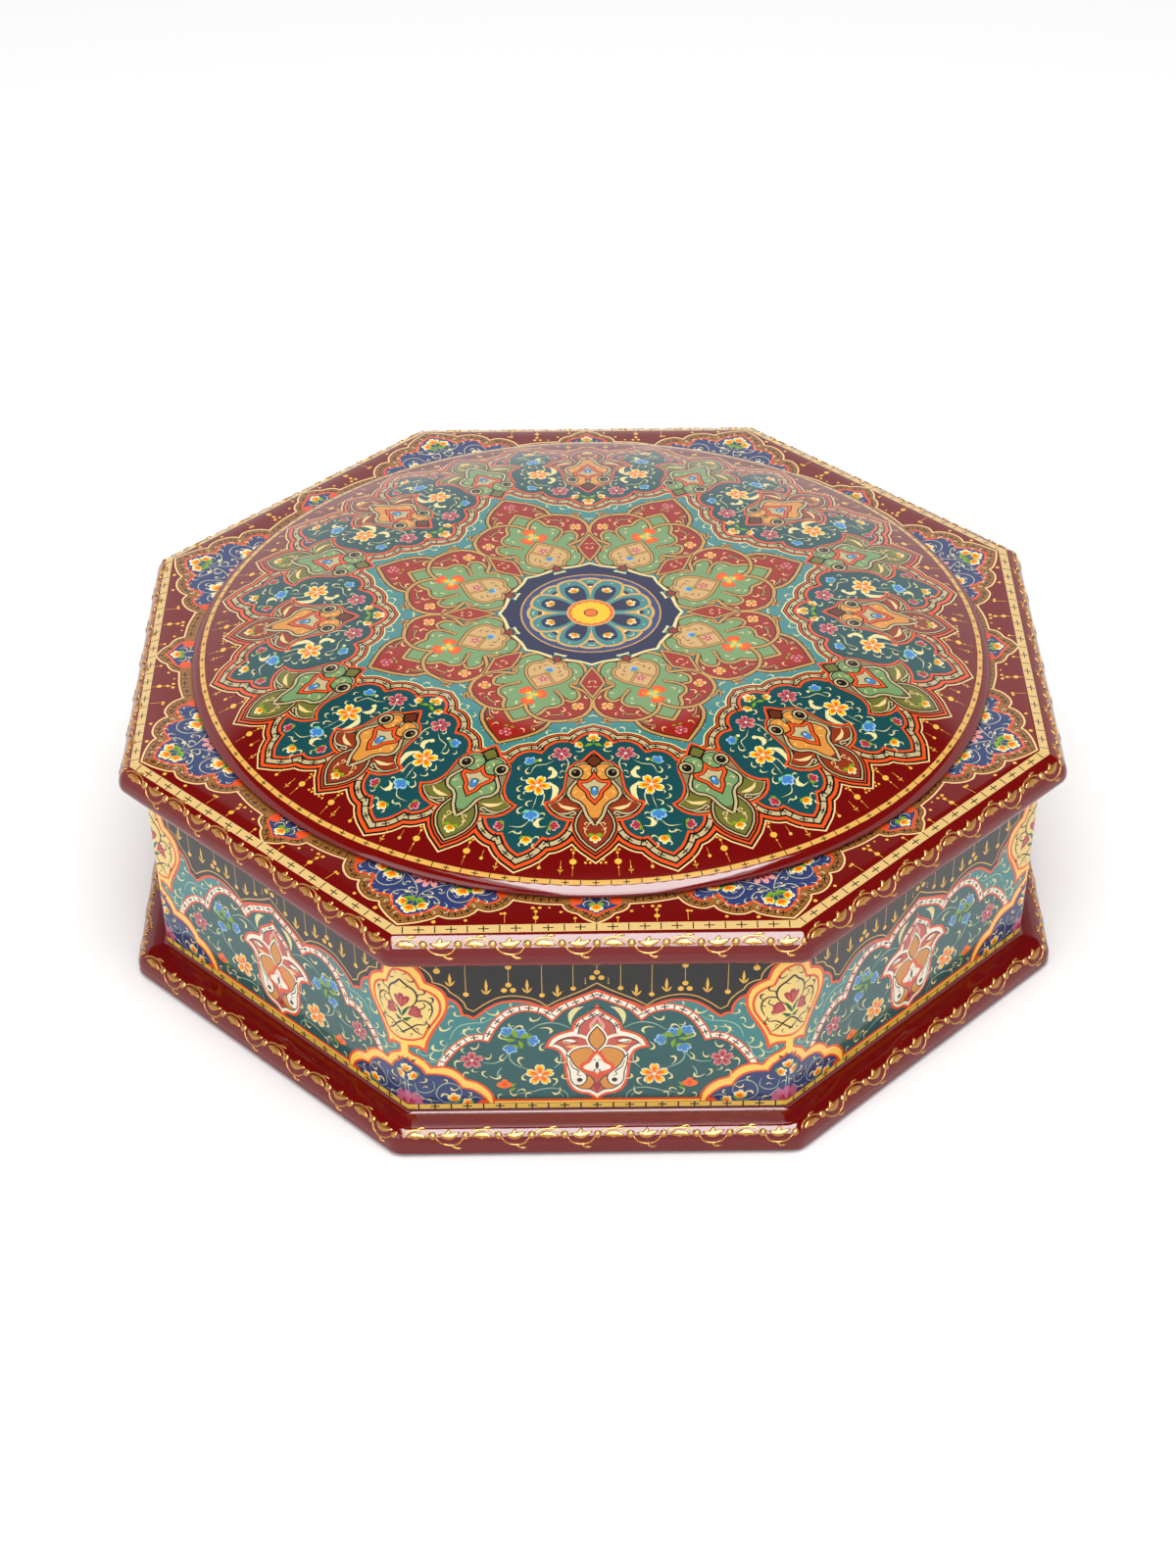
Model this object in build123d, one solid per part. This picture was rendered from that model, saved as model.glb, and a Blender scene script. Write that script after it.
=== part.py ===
from build123d import *
from math import asin, atan, cos, degrees, radians, tan
import os

# Octagonal lidded box of lacquered papier mache board. Eight mitred wall panels lean slightly outwards on a
# plinth board with a rounded edge. A lift-off lid board with a bullnose edge carries a shallow dome, and
# eight strips under it make the lip that drops inside the walls. Velvet-covered cards line the inside, and
# felt covers the underside. Millimetres, +Z up. The origin is the centre of the face that the box stands on.

# ---- driving dimensions ----
wall_foot_across_flats = 262.6  # over the walls where they stand on the plinth
wall_height = 59.5
wall_flare = 1.5                # each wall's top stands out this much beyond its foot
wall_thickness = 6.0
wall_corner_radius = 2.0
wall_rim_ease = 0.5             # rounding of the walls' top inner edge

felt_thickness = 0.6
felt_margin = 7.0               # from the plinth's edge in to the felt

plinth_ledge = 9.2              # the plinth stands out this much beyond the walls' foot
plinth_thickness = 8.1          # at its outer edge
plinth_fall = 0.5               # the ledge drops this much on its way out
plinth_nose_radius = 5.0
plinth_foot_bevel = 1.0
seat_height = 1.0               # raised seat that the walls stand on
seat_bevel = 0.8

board_corner_radius = 5.5       # plan rounding of the lid's and the plinth's corners

lid_overhang = 7.2              # beyond the walls' top
lid_thickness = 10.0
lid_edge_flat = 0.6             # upright band left in the middle of the bullnose

dome_margin = 17.5              # from the middle of a lid side in to the dome
dome_height = 13.9              # crown above the lid board
dome_shoulder_radius = 194.0
dome_shoulder_reach = 60.5      # width of the shoulder, in plan
dome_edge_reach = 2.5           # width of the rounded edge, in plan

lip_height = 8.0
lip_thickness = 4.0
lip_clearance = 0.8             # between the lip and the walls
lip_lead = 1.0                  # chamfer that guides the lip in

card_thickness = 1.8            # velvet-covered lining cards
card_edge_radius = 0.6
card_lip_gap = 0.7              # between the wall cards and the closed lid's lip
floor_card_thickness = 2.2
lid_card_thickness = 1.6
card_gap = 0.3                  # around the floor card and the lid card

# ---- derived places ----
side_names = ["right", "back_right", "back", "back_left", "left", "front_left", "front", "front_right"]
side_count = len(side_names)
side_angle = 360.0 / side_count
level_tolerance = 0.01          # how near a height an edge lies to be picked there

wall_foot_apothem = wall_foot_across_flats / 2
wall_top_apothem = wall_foot_apothem + wall_flare
plinth_apothem = wall_foot_apothem + plinth_ledge
lid_apothem = wall_top_apothem + lid_overhang
lid_edge_radius = (lid_thickness - lid_edge_flat) / 2
dome_radius = lid_apothem - dome_margin

plinth_z = felt_thickness
ledge_z = plinth_z + plinth_thickness + plinth_fall
wall_z = ledge_z + seat_height
lid_z = wall_z + wall_height
dome_z = lid_z + lid_thickness

wall_slope = wall_flare / wall_height
wall_lean = degrees(atan(wall_slope))
wall_run = wall_thickness / cos(radians(wall_lean))      # the walls' thickness along the horizontal
card_run = card_thickness / cos(radians(wall_lean))


def outer_apothem(z):
    """Apothem of the walls' outer faces at height z."""
    return wall_foot_apothem + (z - wall_z) * wall_slope


def inner_apothem(z):
    """Apothem of the walls' inner faces at height z."""
    return outer_apothem(z) - wall_run


lip_apothem = inner_apothem(lid_z) - lip_clearance
card_top_z = lid_z - lip_height - card_lip_gap


def octagon(apothem, z, corner_radius=0.0):
    """Flat octagon with faces towards +-X and +-Y, its corners rounded where asked."""
    outline = RegularPolygon(apothem, side_count, major_radius=False, rotation=side_angle / 2)
    if corner_radius > 0:
        outline = fillet(outline.vertices(), corner_radius)
    return Pos(0, 0, z) * outline


def prism(apothem, z, height, corner_radius=0.0):
    """Upright octagonal block that stands at z."""
    return extrude(octagon(apothem, z, corner_radius), height)


def frustum(low_apothem, high_apothem, low_z, high_z, corner_radius=0.0):
    """Octagonal block whose sides lean."""
    return loft(
        [octagon(low_apothem, low_z, corner_radius), octagon(high_apothem, high_z, corner_radius)],
        ruled=True,
    )


def rim_edges(solid, z):
    """Edges of a solid that lie at height z."""
    return solid.edges().filter_by_position(Axis.Z, z - level_tolerance, z + level_tolerance)


def innermost_edges(solid, z):
    """The eight edges at height z that lie nearest the middle."""
    from_axis = rim_edges(solid, z).sort_by(lambda edge: Vector(edge.center().X, edge.center().Y).length)
    return from_axis[:side_count]


def mitred(ring, low_z, high_z):
    """Cuts a ring into its side pieces along the mitre planes, one for each name in side_names."""
    reach = 2 * lid_apothem
    half_width = reach * tan(radians(side_angle / 2))
    pieces = []
    for place in range(side_count):
        wedge_plan = Polygon((0, 0), (reach, -half_width), (reach, half_width), align=None)
        wedge = extrude(Pos(0, 0, low_z) * wedge_plan, high_z - low_z)
        pieces.append(ring & (Rot(0, 0, place * side_angle) * wedge))
    return pieces


def base_felt():
    """Felt sheet that the box stands on."""
    return prism(plinth_apothem - felt_margin, 0, felt_thickness, board_corner_radius)


def plinth_board():
    """Base board: rounded nose, ledge that falls outwards, and the bevelled seat of the walls."""
    body = prism(plinth_apothem, plinth_z, plinth_thickness, board_corner_radius)
    slope = frustum(plinth_apothem, wall_foot_apothem, ledge_z - plinth_fall, ledge_z, board_corner_radius)
    board = body + slope
    board = fillet(rim_edges(board, ledge_z - plinth_fall), plinth_nose_radius)
    board = chamfer(rim_edges(board, plinth_z), plinth_foot_bevel)
    seat_thickness = seat_height + plinth_fall
    board = board + prism(wall_foot_apothem, ledge_z - plinth_fall, seat_thickness, wall_corner_radius)
    return chamfer(rim_edges(board, ledge_z), seat_bevel)


def wall_panels():
    """Eight leaning panels, mitred at the corners and eased as one ring."""
    outside = frustum(wall_foot_apothem, wall_top_apothem, wall_z, lid_z, wall_corner_radius)
    inside = frustum(inner_apothem(wall_z), inner_apothem(lid_z), wall_z, lid_z)
    ring = fillet(innermost_edges(outside - inside, lid_z), wall_rim_ease)
    return mitred(ring, wall_z, lid_z)


def wall_cards():
    """Eight lining cards against the walls, short of the lid's lip."""
    foot_apothem = inner_apothem(wall_z)
    top_apothem = inner_apothem(card_top_z)
    outside = frustum(foot_apothem, top_apothem, wall_z, card_top_z)
    inside = frustum(foot_apothem - card_run, top_apothem - card_run, wall_z, card_top_z)
    ring = fillet(innermost_edges(outside - inside, card_top_z), card_edge_radius)
    return mitred(ring, wall_z, card_top_z)


def floor_card():
    """Lining card on the box's floor, between the wall cards."""
    card = prism(inner_apothem(wall_z) - card_run - card_gap, wall_z, floor_card_thickness)
    return fillet(rim_edges(card, wall_z + floor_card_thickness), card_edge_radius)


def lid_board():
    """Lid slab with a bullnose edge all round."""
    board = prism(lid_apothem, lid_z, lid_thickness, board_corner_radius)
    board = fillet(rim_edges(board, lid_z + lid_thickness), lid_edge_radius)
    return fillet(rim_edges(board, lid_z), lid_edge_radius)


def lid_dome():
    """Round dome: a flat crown, a shoulder and a rounded edge, as a line and two tangent arcs."""
    edge_start = dome_radius - dome_edge_reach
    shoulder_sine = dome_shoulder_reach / dome_shoulder_radius
    edge_radius = dome_edge_reach / (1 - shoulder_sine)
    shoulder_turn = degrees(asin(shoulder_sine))
    with BuildPart() as dome:
        with BuildSketch(Plane.XZ):
            with BuildLine():
                crown = Line((0, dome_height), (edge_start - dome_shoulder_reach, dome_height))
                shoulder = JernArc(crown @ 1, crown % 1, dome_shoulder_radius, -shoulder_turn)
                edge = JernArc(shoulder @ 1, shoulder % 1, edge_radius, shoulder_turn - 90)
                Polyline(edge @ 1, (dome_radius, -dome_height), (0, -dome_height), (0, dome_height))
            make_face()
            with Locations((0, 0)):
                Rectangle(dome_radius, dome_height, align=(Align.MIN, Align.MIN), mode=Mode.INTERSECT)
        revolve(axis=Axis.Z)
    return Pos(0, 0, dome_z) * dome.part


def lip_strips():
    """Eight mitred strips under the lid that drop inside the walls."""
    low_z = lid_z - lip_height
    outside = prism(lip_apothem, low_z, lip_height)
    outside = chamfer(rim_edges(outside, low_z), lip_lead)
    ring = outside - prism(lip_apothem - lip_thickness, low_z, lip_height)
    return mitred(ring, low_z, lid_z)


def lid_card():
    """Lining card on the lid's underside, inside the lip."""
    card = prism(lip_apothem - lip_thickness - card_gap, lid_z - lid_card_thickness, lid_card_thickness)
    return fillet(rim_edges(card, lid_z - lid_card_thickness), card_edge_radius)


def write(name, shape):
    """Writes one node's solid as a STEP file and prints its volume."""
    solid = shape.solid()
    export_step(solid, f"parts/{name}.step")
    print(f"{name}: {solid.volume / 1000:.1f} cm3, valid {solid.is_valid}")


def main():
    os.makedirs("parts", exist_ok=True)
    write("base_felt", base_felt())
    write("plinth_board", plinth_board())
    write("floor_card", floor_card())
    write("lid_board", lid_board())
    write("lid_dome", lid_dome())
    write("lid_card", lid_card())
    for name, panel in zip(side_names, wall_panels()):
        write(f"wall_{name}", panel)
    for name, card in zip(side_names, wall_cards()):
        write(f"card_{name}", card)
    for name, strip in zip(side_names, lip_strips()):
        write(f"lip_{name}", strip)


main()
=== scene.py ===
# Octagonal lacquered papier mache box: painted dome, lid board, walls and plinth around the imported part.
# Sizes are in millimetres until a mesh is made. +Z is up, and -Y is the front.
import math

import bpy
import bmesh
import numpy as np
from mathutils import Matrix, Vector
from mathutils.geometry import delaunay_2d_cdt


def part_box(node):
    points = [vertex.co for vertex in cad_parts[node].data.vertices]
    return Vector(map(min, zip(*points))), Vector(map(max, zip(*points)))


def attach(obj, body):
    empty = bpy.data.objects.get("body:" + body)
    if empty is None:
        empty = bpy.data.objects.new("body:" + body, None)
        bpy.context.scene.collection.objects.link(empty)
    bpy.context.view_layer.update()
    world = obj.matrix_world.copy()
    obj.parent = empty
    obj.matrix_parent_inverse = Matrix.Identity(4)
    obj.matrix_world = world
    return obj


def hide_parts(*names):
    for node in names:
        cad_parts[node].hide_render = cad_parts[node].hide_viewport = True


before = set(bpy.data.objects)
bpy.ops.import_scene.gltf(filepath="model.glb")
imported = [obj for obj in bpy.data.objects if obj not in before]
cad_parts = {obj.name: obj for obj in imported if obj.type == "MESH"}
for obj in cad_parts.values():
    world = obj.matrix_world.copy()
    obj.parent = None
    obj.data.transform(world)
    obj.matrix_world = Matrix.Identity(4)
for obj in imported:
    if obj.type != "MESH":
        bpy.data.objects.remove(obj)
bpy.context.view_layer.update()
print("frame loaded:", len(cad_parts), "nodes")

mm = 0.001
hair = 1e-4                        # closer points count as one
tiny = 1e-6                        # keeps a division away from nought
halfSide = math.radians(22.5)      # from the middle of a side to a corner
sideNames = ["front", "front_right", "right", "back_right", "back", "back_left", "left", "front_left"]


# Paints: sRGB by name, each one flat colour under the same clear lacquer
paints = {
    "deepRed": (108, 5, 4), "cream": (232, 196, 132), "orangeRed": (222, 78, 28), "black": (24, 19, 16),
    "bandBeige": (186, 168, 124), "darkTeal": (22, 70, 74), "turquoise": (66, 126, 124),
    "navy": (44, 58, 104), "leafGreen": (112, 144, 94), "olive": (106, 104, 44), "ochre": (206, 136, 58),
    "paleOchre": (246, 190, 104), "brownRed": (134, 50, 26), "dropBrown": (98, 44, 24),
    "brightGreen": (116, 156, 14), "mint": (112, 186, 150), "white": (238, 230, 208),
    "petalYellow": (247, 184, 20), "petalOrange": (240, 104, 18), "rose": (196, 96, 100),
    "darkRose": (160, 44, 62), "blue": (62, 120, 184), "paleBlue": (150, 192, 214),
    "starRed": (148, 30, 20), "strapGold": (190, 142, 74), "strapShade": (58, 38, 22),
    "leafCream": (222, 208, 146), "dotGold": (232, 176, 66), "wallBlack": (18, 16, 13),
    "rosePanel": (190, 84, 70), "skyTeal": (58, 124, 124), "lineGold": (206, 158, 78),
    "deepNavy": (20, 26, 66), "shieldCream": (198, 158, 100), "curlBrown": (138, 116, 84),
    "bandOchre": (146, 94, 42), "borderGold": (214, 180, 116), "wallTeal": (34, 84, 84),
    "ringGold": (214, 166, 82), "bandGold": (250, 200, 92), "bandFoot": (226, 186, 78),
    "stemBlack": (52, 24, 20), "paleRose": (220, 150, 142), "lilac": (178, 92, 122),
    "paleStem": (150, 176, 150), "deepGreen": (14, 84, 62), "panelCream": (234, 202, 120),
    "lipBrown": (48, 18, 16), "spanCream": (200, 192, 150),
}
finish = {"roughness": 0.07, "ior": 1.5, "waveSize": 38.0, "waveDepth": 0.05}


def linear(value):
    value = value / 255
    return value / 12.92 if value <= 0.04045 else ((value + 0.055) / 1.055) ** 2.4


# Wraps a socket so that shader maths can be written as sums and products
class Ink:
    def __init__(self, tree, socket=None):
        self.tree = tree
        self.socket = socket

    def node(self, kind, settings=None, output=0, **inputs):
        made = self.tree.nodes.new(kind)
        for name, value in (settings or {}).items():
            setattr(made, name, value)
        for name, value in inputs.items():
            key = int(name[1:]) if name[0] == "i" and name[1:].isdigit() else name.replace("_", " ")
            if isinstance(value, Ink):
                self.tree.links.new(value.socket, made.inputs[key])
            else:
                made.inputs[key].default_value = value
        return Ink(self.tree, made.outputs[output])

    # Noise that stays with the piece; its size is set by scale, and its fineness by detail
    def noise(self, scale, detail):
        place = self.node("ShaderNodeTexCoord", output=3)
        return self.node("ShaderNodeTexNoise", Vector=place, Scale=scale, Detail=detail)

    # Runs from 0 to 1 in a smooth step between two values
    def rise(self, value, start, end):
        return self.node("ShaderNodeMapRange", {"interpolation_type": "SMOOTHSTEP"}, i0=value, i1=start,
                         i2=end)

    def math(self, operation, a, b=0.0, clamp=False):
        return self.node("ShaderNodeMath", {"operation": operation, "use_clamp": clamp}, i0=a, i1=b)

    def __add__(self, other):
        return self.math("ADD", self, other)

    def __sub__(self, other):
        return self.math("SUBTRACT", self, other)

    def __rsub__(self, other):
        return self.math("SUBTRACT", other, self)

    def __mul__(self, other):
        return self.math("MULTIPLY", self, other)

    __radd__ = __add__
    __rmul__ = __mul__


# A material with these values on its shader
def newMaterial(name, values):
    material = bpy.data.materials.new(name)
    material.use_nodes = True
    shader = next(n for n in material.node_tree.nodes if n.type == "BSDF_PRINCIPLED")
    for key, value in values.items():
        shader.inputs[key].default_value = value
    return material, shader, Ink(material.node_tree)


def addBump(ink, shader, depth, distance, height):
    bump = ink.node("ShaderNodeBump", Strength=depth, Distance=distance, Height=height)
    ink.tree.links.new(bump.socket, shader.inputs["Normal"])


def addObject(name, data):
    made = bpy.data.objects.new(name, data)
    bpy.context.scene.collection.objects.link(made)
    return made


def opaque(colour):
    return (*(linear(value) for value in colour), 1)


# One paint under clear lacquer, with the faint waves of many brushed coats
def lacquer(name):
    colour = opaque(paints[name])
    values = {"Base Color": colour, "Roughness": finish["roughness"], "IOR": finish["ior"]}
    material, shader, ink = newMaterial(name, values)
    material.diffuse_color = colour
    addBump(ink, shader, finish["waveDepth"], mm, ink.noise(finish["waveSize"], 1.0))
    return material


lacquers = {}


def paintOf(name):
    if name not in lacquers:
        lacquers[name] = lacquer(name)
    return lacquers[name]


# Outlines: an outline is a list of smooth runs that meet at corners
# Points along a curve through the given ones (centripetal Catmull-Rom)
def smoothRun(points, step):
    if len(points) < 3:
        return [Vector(p) for p in points]
    knots = [Vector(p) for p in points]
    knots = [2 * knots[0] - knots[1]] + knots + [2 * knots[-1] - knots[-2]]
    drawn = []
    for a, b, c, d in zip(knots, knots[1:], knots[2:], knots[3:]):
        gaps = [max((q - p).length, tiny) ** 0.5 for p, q in ((a, b), (b, c), (c, d))]
        t1 = gaps[0]
        t2 = t1 + gaps[1]
        t3 = t2 + gaps[2]
        count = max(2, math.ceil((c - b).length / step))
        for k in range(count):
            t = t1 + (t2 - t1) * k / count
            ab = a.lerp(b, t / t1)
            bc = b.lerp(c, (t - t1) / (t2 - t1))
            cd = c.lerp(d, (t - t2) / (t3 - t2))
            drawn.append(ab.lerp(bc, t / t2).lerp(bc.lerp(cd, (t - t1) / (t3 - t1)), (t - t1) / (t2 - t1)))
    return drawn + [Vector(points[-1])]


# One outline: each run starts where the last one ended, and a corner is left there
def curve(*runs, step=1.0):
    line = []
    for run in runs:
        start = [tuple(line[-1])] if line else []
        piece = smoothRun(start + list(run), step)
        line += piece[1:] if line else piece
    return line


def mirrored(line):
    return [Vector((-p.x, p.y)) for p in line]


# Closed outline from its right half, which starts and ends on the axis
def bothSides(half):
    left = mirrored(half)[::-1]
    return half + [p for p in left if abs(p.x) > hair]


def evenCurve(*runs, step=1.0):
    return bothSides(curve(*runs, step=step))


# The same without its last point, for runs that end where they began
def closedCurve(*runs, step=1.0):
    return curve(*runs, step=step)[:-1]


# Turned anticlockwise in degrees, scaled, then moved
def placed(line, x=0.0, y=0.0, turn=0.0, size=1.0):
    c, s = math.cos(math.radians(turn)) * size, math.sin(math.radians(turn)) * size
    return [Vector((x + p.x * c - p.y * s, y + p.x * s + p.y * c)) for p in line]


# From the frame of an axis that is this far round from the middle of the side
def onAxis(line, degrees):
    return placed(line, turn=-degrees)


def area(line):
    return 0.5 * sum(p.x * q.y - q.x * p.y for p, q in zip(line, line[1:] + line[:1]))


sharpTurn, leastMitre = 0.5, 0.36      # sharper inner corners are cut square, and longer points cut back


# A closed outline, wider by the same width all round, with pointed corners kept
def grown(line, width):
    if area(line) < 0:
        line = line[::-1]
    line = [p for p, q in zip(line, line[1:] + line[:1]) if (p - q).length > hair]
    out = []
    for before, here, after in zip(line[-1:] + line[:-1], line, line[1:] + line[:1]):
        u = (here - before).normalized()
        v = (after - here).normalized()
        n1 = Vector((u.y, -u.x)) * width
        n2 = Vector((v.y, -v.x)) * width
        turn = math.atan2(u.x * v.y - u.y * v.x, u.dot(v))
        if turn * width < 0 and abs(turn) > sharpTurn:
            out += [here + n1, here.copy(), here + n2]
        else:
            half = max(math.cos(turn / 2), leastMitre)
            out.append(here + (n1 + n2).normalized() * (abs(width) / half))
    return out


# A brush line along an open curve, with a width at the start, the middle and the end
def stroke(line, start, middle=None, end=None):
    middle = start if middle is None else middle
    end = start if end is None else end
    left, right = [], []
    count = len(line) - 1
    for k, here in enumerate(line):
        along = (line[min(k + 1, count)] - line[max(k - 1, 0)]).normalized()
        t = k / count
        width = start + (middle - start) * 2 * t if t < 0.5 else middle + (end - middle) * (2 * t - 1)
        side = Vector((-along.y, along.x)) * width / 2
        left.append(here + side)
        right.append(here - side)
    return left + right[::-1]


# Places and headings every so many millimetres along an open curve
def alongLine(line, spacing, start=0.0):
    spots, gone = [], start
    for p, q in zip(line, line[1:]):
        length = (q - p).length
        while gone <= length:
            spots.append((p.lerp(q, gone / length), math.degrees(math.atan2(q.y - p.y, q.x - p.x))))
            gone += spacing
        gone -= length
    return spots


# Painting: layers of outlines become one skin of flat coloured triangles
# The same outline without the points that lie within a hair of the straight line past them
def trimmed(line, slack):
    if len(line) < 4:
        return line
    far = max(range(len(line)), key=lambda k: (line[k] - line[0]).length)
    kept = {0, far}
    spans = [(0, far), (far, len(line))]
    while spans:
        first, last = spans.pop()
        start, end = line[first], line[last % len(line)]
        across = Vector((start.y - end.y, end.x - start.x)).normalized()
        gaps = [(abs((line[k] - start).dot(across)), k) for k in range(first + 1, last)]
        if gaps and max(gaps)[0] > slack:
            middle = max(gaps)[1]
            kept.add(middle)
            spans += [(first, middle), (middle, last)]
    return [line[k] for k in sorted(kept)] if len(kept) > 2 else line


# Triangles between the given edges, inside the region
def flatMesh(points, edges, region):
    verts, _, faces, _, _, _ = delaunay_2d_cdt(points, edges, [], 0, hair, False)
    corners = np.array([tuple(v) for v in verts])
    faces = np.array([f for f in faces if len(f) == 3])
    kept = windings(corners[faces].mean(axis=1), region) > 0
    used, faces = np.unique(faces[kept], return_inverse=True)
    return corners[used], faces.reshape(-1, 3)


# A patch of painting: later outlines cover earlier ones
class Cell:
    def __init__(self, ground, region, slack=0.035):
        self.ground = ground
        self.region = region
        self.slack = slack
        self.layers = []

    def put(self, paint, *lines):
        for line in lines:
            self.layers.append((paint, trimmed(line, self.slack)))

    def paintsAt(self, spots):
        names = np.full(len(spots), self.ground, dtype=object)
        for paint, line in self.layers:
            names[windings(spots, line) > 0] = paint
        return names

    # Vertices, triangles and the paint of each triangle; extra points let the skin bend
    def triangles(self, extra):
        points, edges = [], []
        for line in [line for _, line in self.layers] + [self.region]:
            first = len(points)
            points += line
            count = len(line)
            edges += [(first + k, first + (k + 1) % count) for k in range(count)]
        corners, faces = flatMesh(points, edges, self.region)
        names = self.paintsAt(corners[faces].mean(axis=1))
        # only the edges between unlike paints are kept for the second, lighter net
        sides = {}
        for face, name in zip(faces.tolist(), names):
            for a, b in zip(face, face[1:] + face[:1]):
                sides.setdefault((min(a, b), max(a, b)), []).append(name)
        edges = [pair for pair, found in sides.items() if len(found) == 1 or found[0] != found[1]]
        used = sorted({k for pair in edges for k in pair})
        place = {k: n for n, k in enumerate(used)}
        points = [Vector(corners[k]) for k in used] + extra
        edges = [(place[a], place[b]) for a, b in edges]
        corners, faces = flatMesh(points, edges, self.region)
        return corners, faces, list(self.paintsAt(corners[faces].mean(axis=1)))


# How many times an outline turns anticlockwise round each spot, whichever way it was drawn
def windings(spots, line):
    sign = 1 if area(line) > 0 else -1
    outline = np.array([tuple(p) for p in line])
    low, high = outline.min(axis=0), outline.max(axis=0)
    near = np.nonzero(((spots > low) & (spots < high)).all(axis=1))[0]
    turns = np.zeros(len(spots), int)
    if len(near) == 0:
        return turns
    x, y = spots[near, 0][:, None], spots[near, 1][:, None]
    x0, y0 = outline[:, 0][None], outline[:, 1][None]
    x1, y1 = np.roll(outline[:, 0], -1)[None], np.roll(outline[:, 1], -1)[None]
    cross = (x1 - x0) * (y - y0) - (x - x0) * (y1 - y0)
    up = (y0 <= y) & (y1 > y) & (cross > 0)
    down = (y0 > y) & (y1 <= y) & (cross < 0)
    turns[near] = (up.sum(axis=1) - down.sum(axis=1)) * sign
    return turns


# Loose points in a staggered grid
def gridPoints(x0, x1, y0, y1, step):
    spots = []
    for j in range(int((y1 - y0) / step) + 1):
        for i in range(int((x1 - x0) / step) + 1):
            spots.append(Vector((x0 + (i + 0.5 * (j % 2)) * step, y0 + j * step)))
    return spots


def flatPoints(*points):
    return [Vector(point) for point in points]


# Brush shapes: each is drawn at the origin and then placed
def roundSpot(radius, tall=None, sides=10):
    tall = radius if tall is None else tall
    return [Vector((radius * math.cos(2 * math.pi * k / sides), tall * math.sin(2 * math.pi * k / sides)))
            for k in range(sides)]


# Petal from the origin along +Y, fuller towards its end, which can be notched
def petalShape(long, wide, notch=0.0):
    return evenCurve([(0, 0), (wide * 0.28, long * 0.30), (wide * 0.5, long * 0.68),
                     (wide * 0.32, long * 0.96), (wide * notch, long), (0, long * (1 - notch))],
                     step=long * 0.4)


# Pointed leaf from the origin along +Y that bows to one side
def leafShape(long, wide, bow=0.2):
    return closedCurve([(0, 0), (wide * 0.5 + bow * long, long * 0.45), (bow * long * 0.4, long)],
                       [(bow * long - wide * 0.5, long * 0.45), (0, 0)], step=long * 0.3)


# The little scroll that fills gaps, one unit long: a fat head and a fine tail that hooks
def commaShape():
    return closedCurve([(-1.15, 0.42), (-0.66, 0.04), (0.0, -0.08), (0.42, 0.28), (0.18, 0.84)],
                       [(0.10, 0.52), (0.06, 0.24), (-0.42, 0.11), (-1.15, 0.42)], step=0.7)


def petal(cell, paint, long, wide, x, y, turn=0.0, notch=0.0):
    cell.put(paint, placed(petalShape(long, wide, notch), x, y, turn))


def leaf(cell, paint, long, wide, bow, x, y, turn):
    cell.put(paint, placed(leafShape(long, wide, bow), x, y, turn))


def dot(cell, paint, x, y, radius, tall=None, sides=10, turn=0.0):
    cell.put(paint, placed(roundSpot(radius, tall, sides), x, y, turn))


# Outlines that are wider or narrower than one line, each covering the last; 0 is the line itself
def layered(cell, line, *layers):
    for width, paint in layers:
        cell.put(paint, grown(line, width) if width else line)


# A brush line with its widths at the start, the middle and the end
def brushLine(cell, paint, widths, *points, step=1.2):
    cell.put(paint, stroke(curve(list(points), step=step), *widths))


# Open flower: pale rim, coloured petals, warm throat and a light middle
def blossom(cell, x, y, radius, turn=0.0, kind="yellow", petals=5):
    rim, body, throat, middle = {
        "yellow": ("white", "petalYellow", "petalOrange", "white"),
        "rose": ("paleRose", "rose", "darkRose", "white"),
        "blue": ("paleBlue", "blue", "blue", "petalYellow"),
    }[kind]
    for k in range(petals):
        a = turn + 360 / petals * k
        petal(cell, rim, radius, radius * 3.6 / petals, x, y, a, notch=0.12)
        petal(cell, body, radius * 0.93, radius * 2.95 / petals, x, y, a)
        petal(cell, throat, radius * 0.68, radius * 1.7 / petals, x, y, a)
    dot(cell, middle, x, y, radius * 0.14, sides=6)


# Side-on flower along +Y before it is turned: two sepals and a bell
def bud(cell, x, y, size, turn=0.0, kind="blue"):
    rim, body, sepal = {
        "blue": ("paleBlue", "blue", "brightGreen"),
        "rose": ("paleRose", "darkRose", "brightGreen"),
        "yellow": ("white", "petalYellow", "brightGreen"),
        "orange": ("petalYellow", "petalOrange", "brightGreen"),
        "mintBell": ("paleBlue", "blue", "mint"),
    }[kind]
    for side in (-1, 1):
        leaf(cell, sepal, size * 0.95, size * 0.42, 0.1, x, y, turn + side * 68)
    for side in (-1, 1):
        petal(cell, rim, size * 1.15, size * 0.62, x, y, turn + side * 34, notch=0.1)
        petal(cell, body, size * 0.96, size * 0.5, x, y, turn + side * 32)
    petal(cell, rim, size * 1.35, size * 0.66, x, y, turn, notch=0.1)
    petal(cell, body, size * 1.14, size * 0.54, x, y, turn)
    if kind in ("yellow", "orange"):
        for side in (-1, 0, 1):
            petal(cell, "petalOrange", size * 0.76, size * 0.3, x, y, turn + side * 26)


# Comma scrolls at (x, y, turn); a fourth number is their own size, and a minus turns them over
def scrolls(cell, paint, size, *spots):
    for spot in spots:
        x, y, turn = spot[:3]
        own = spot[3] if len(spot) > 3 else size
        shape = commaShape()
        if own < 0:
            shape = mirrored(shape)[::-1]
        cell.put(paint, placed(shape, x, y, turn, abs(own)))


def stem(cell, paint, width, *points):
    brushLine(cell, paint, (width * 0.4, width, width * 0.4), *points, step=1.6)


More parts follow.
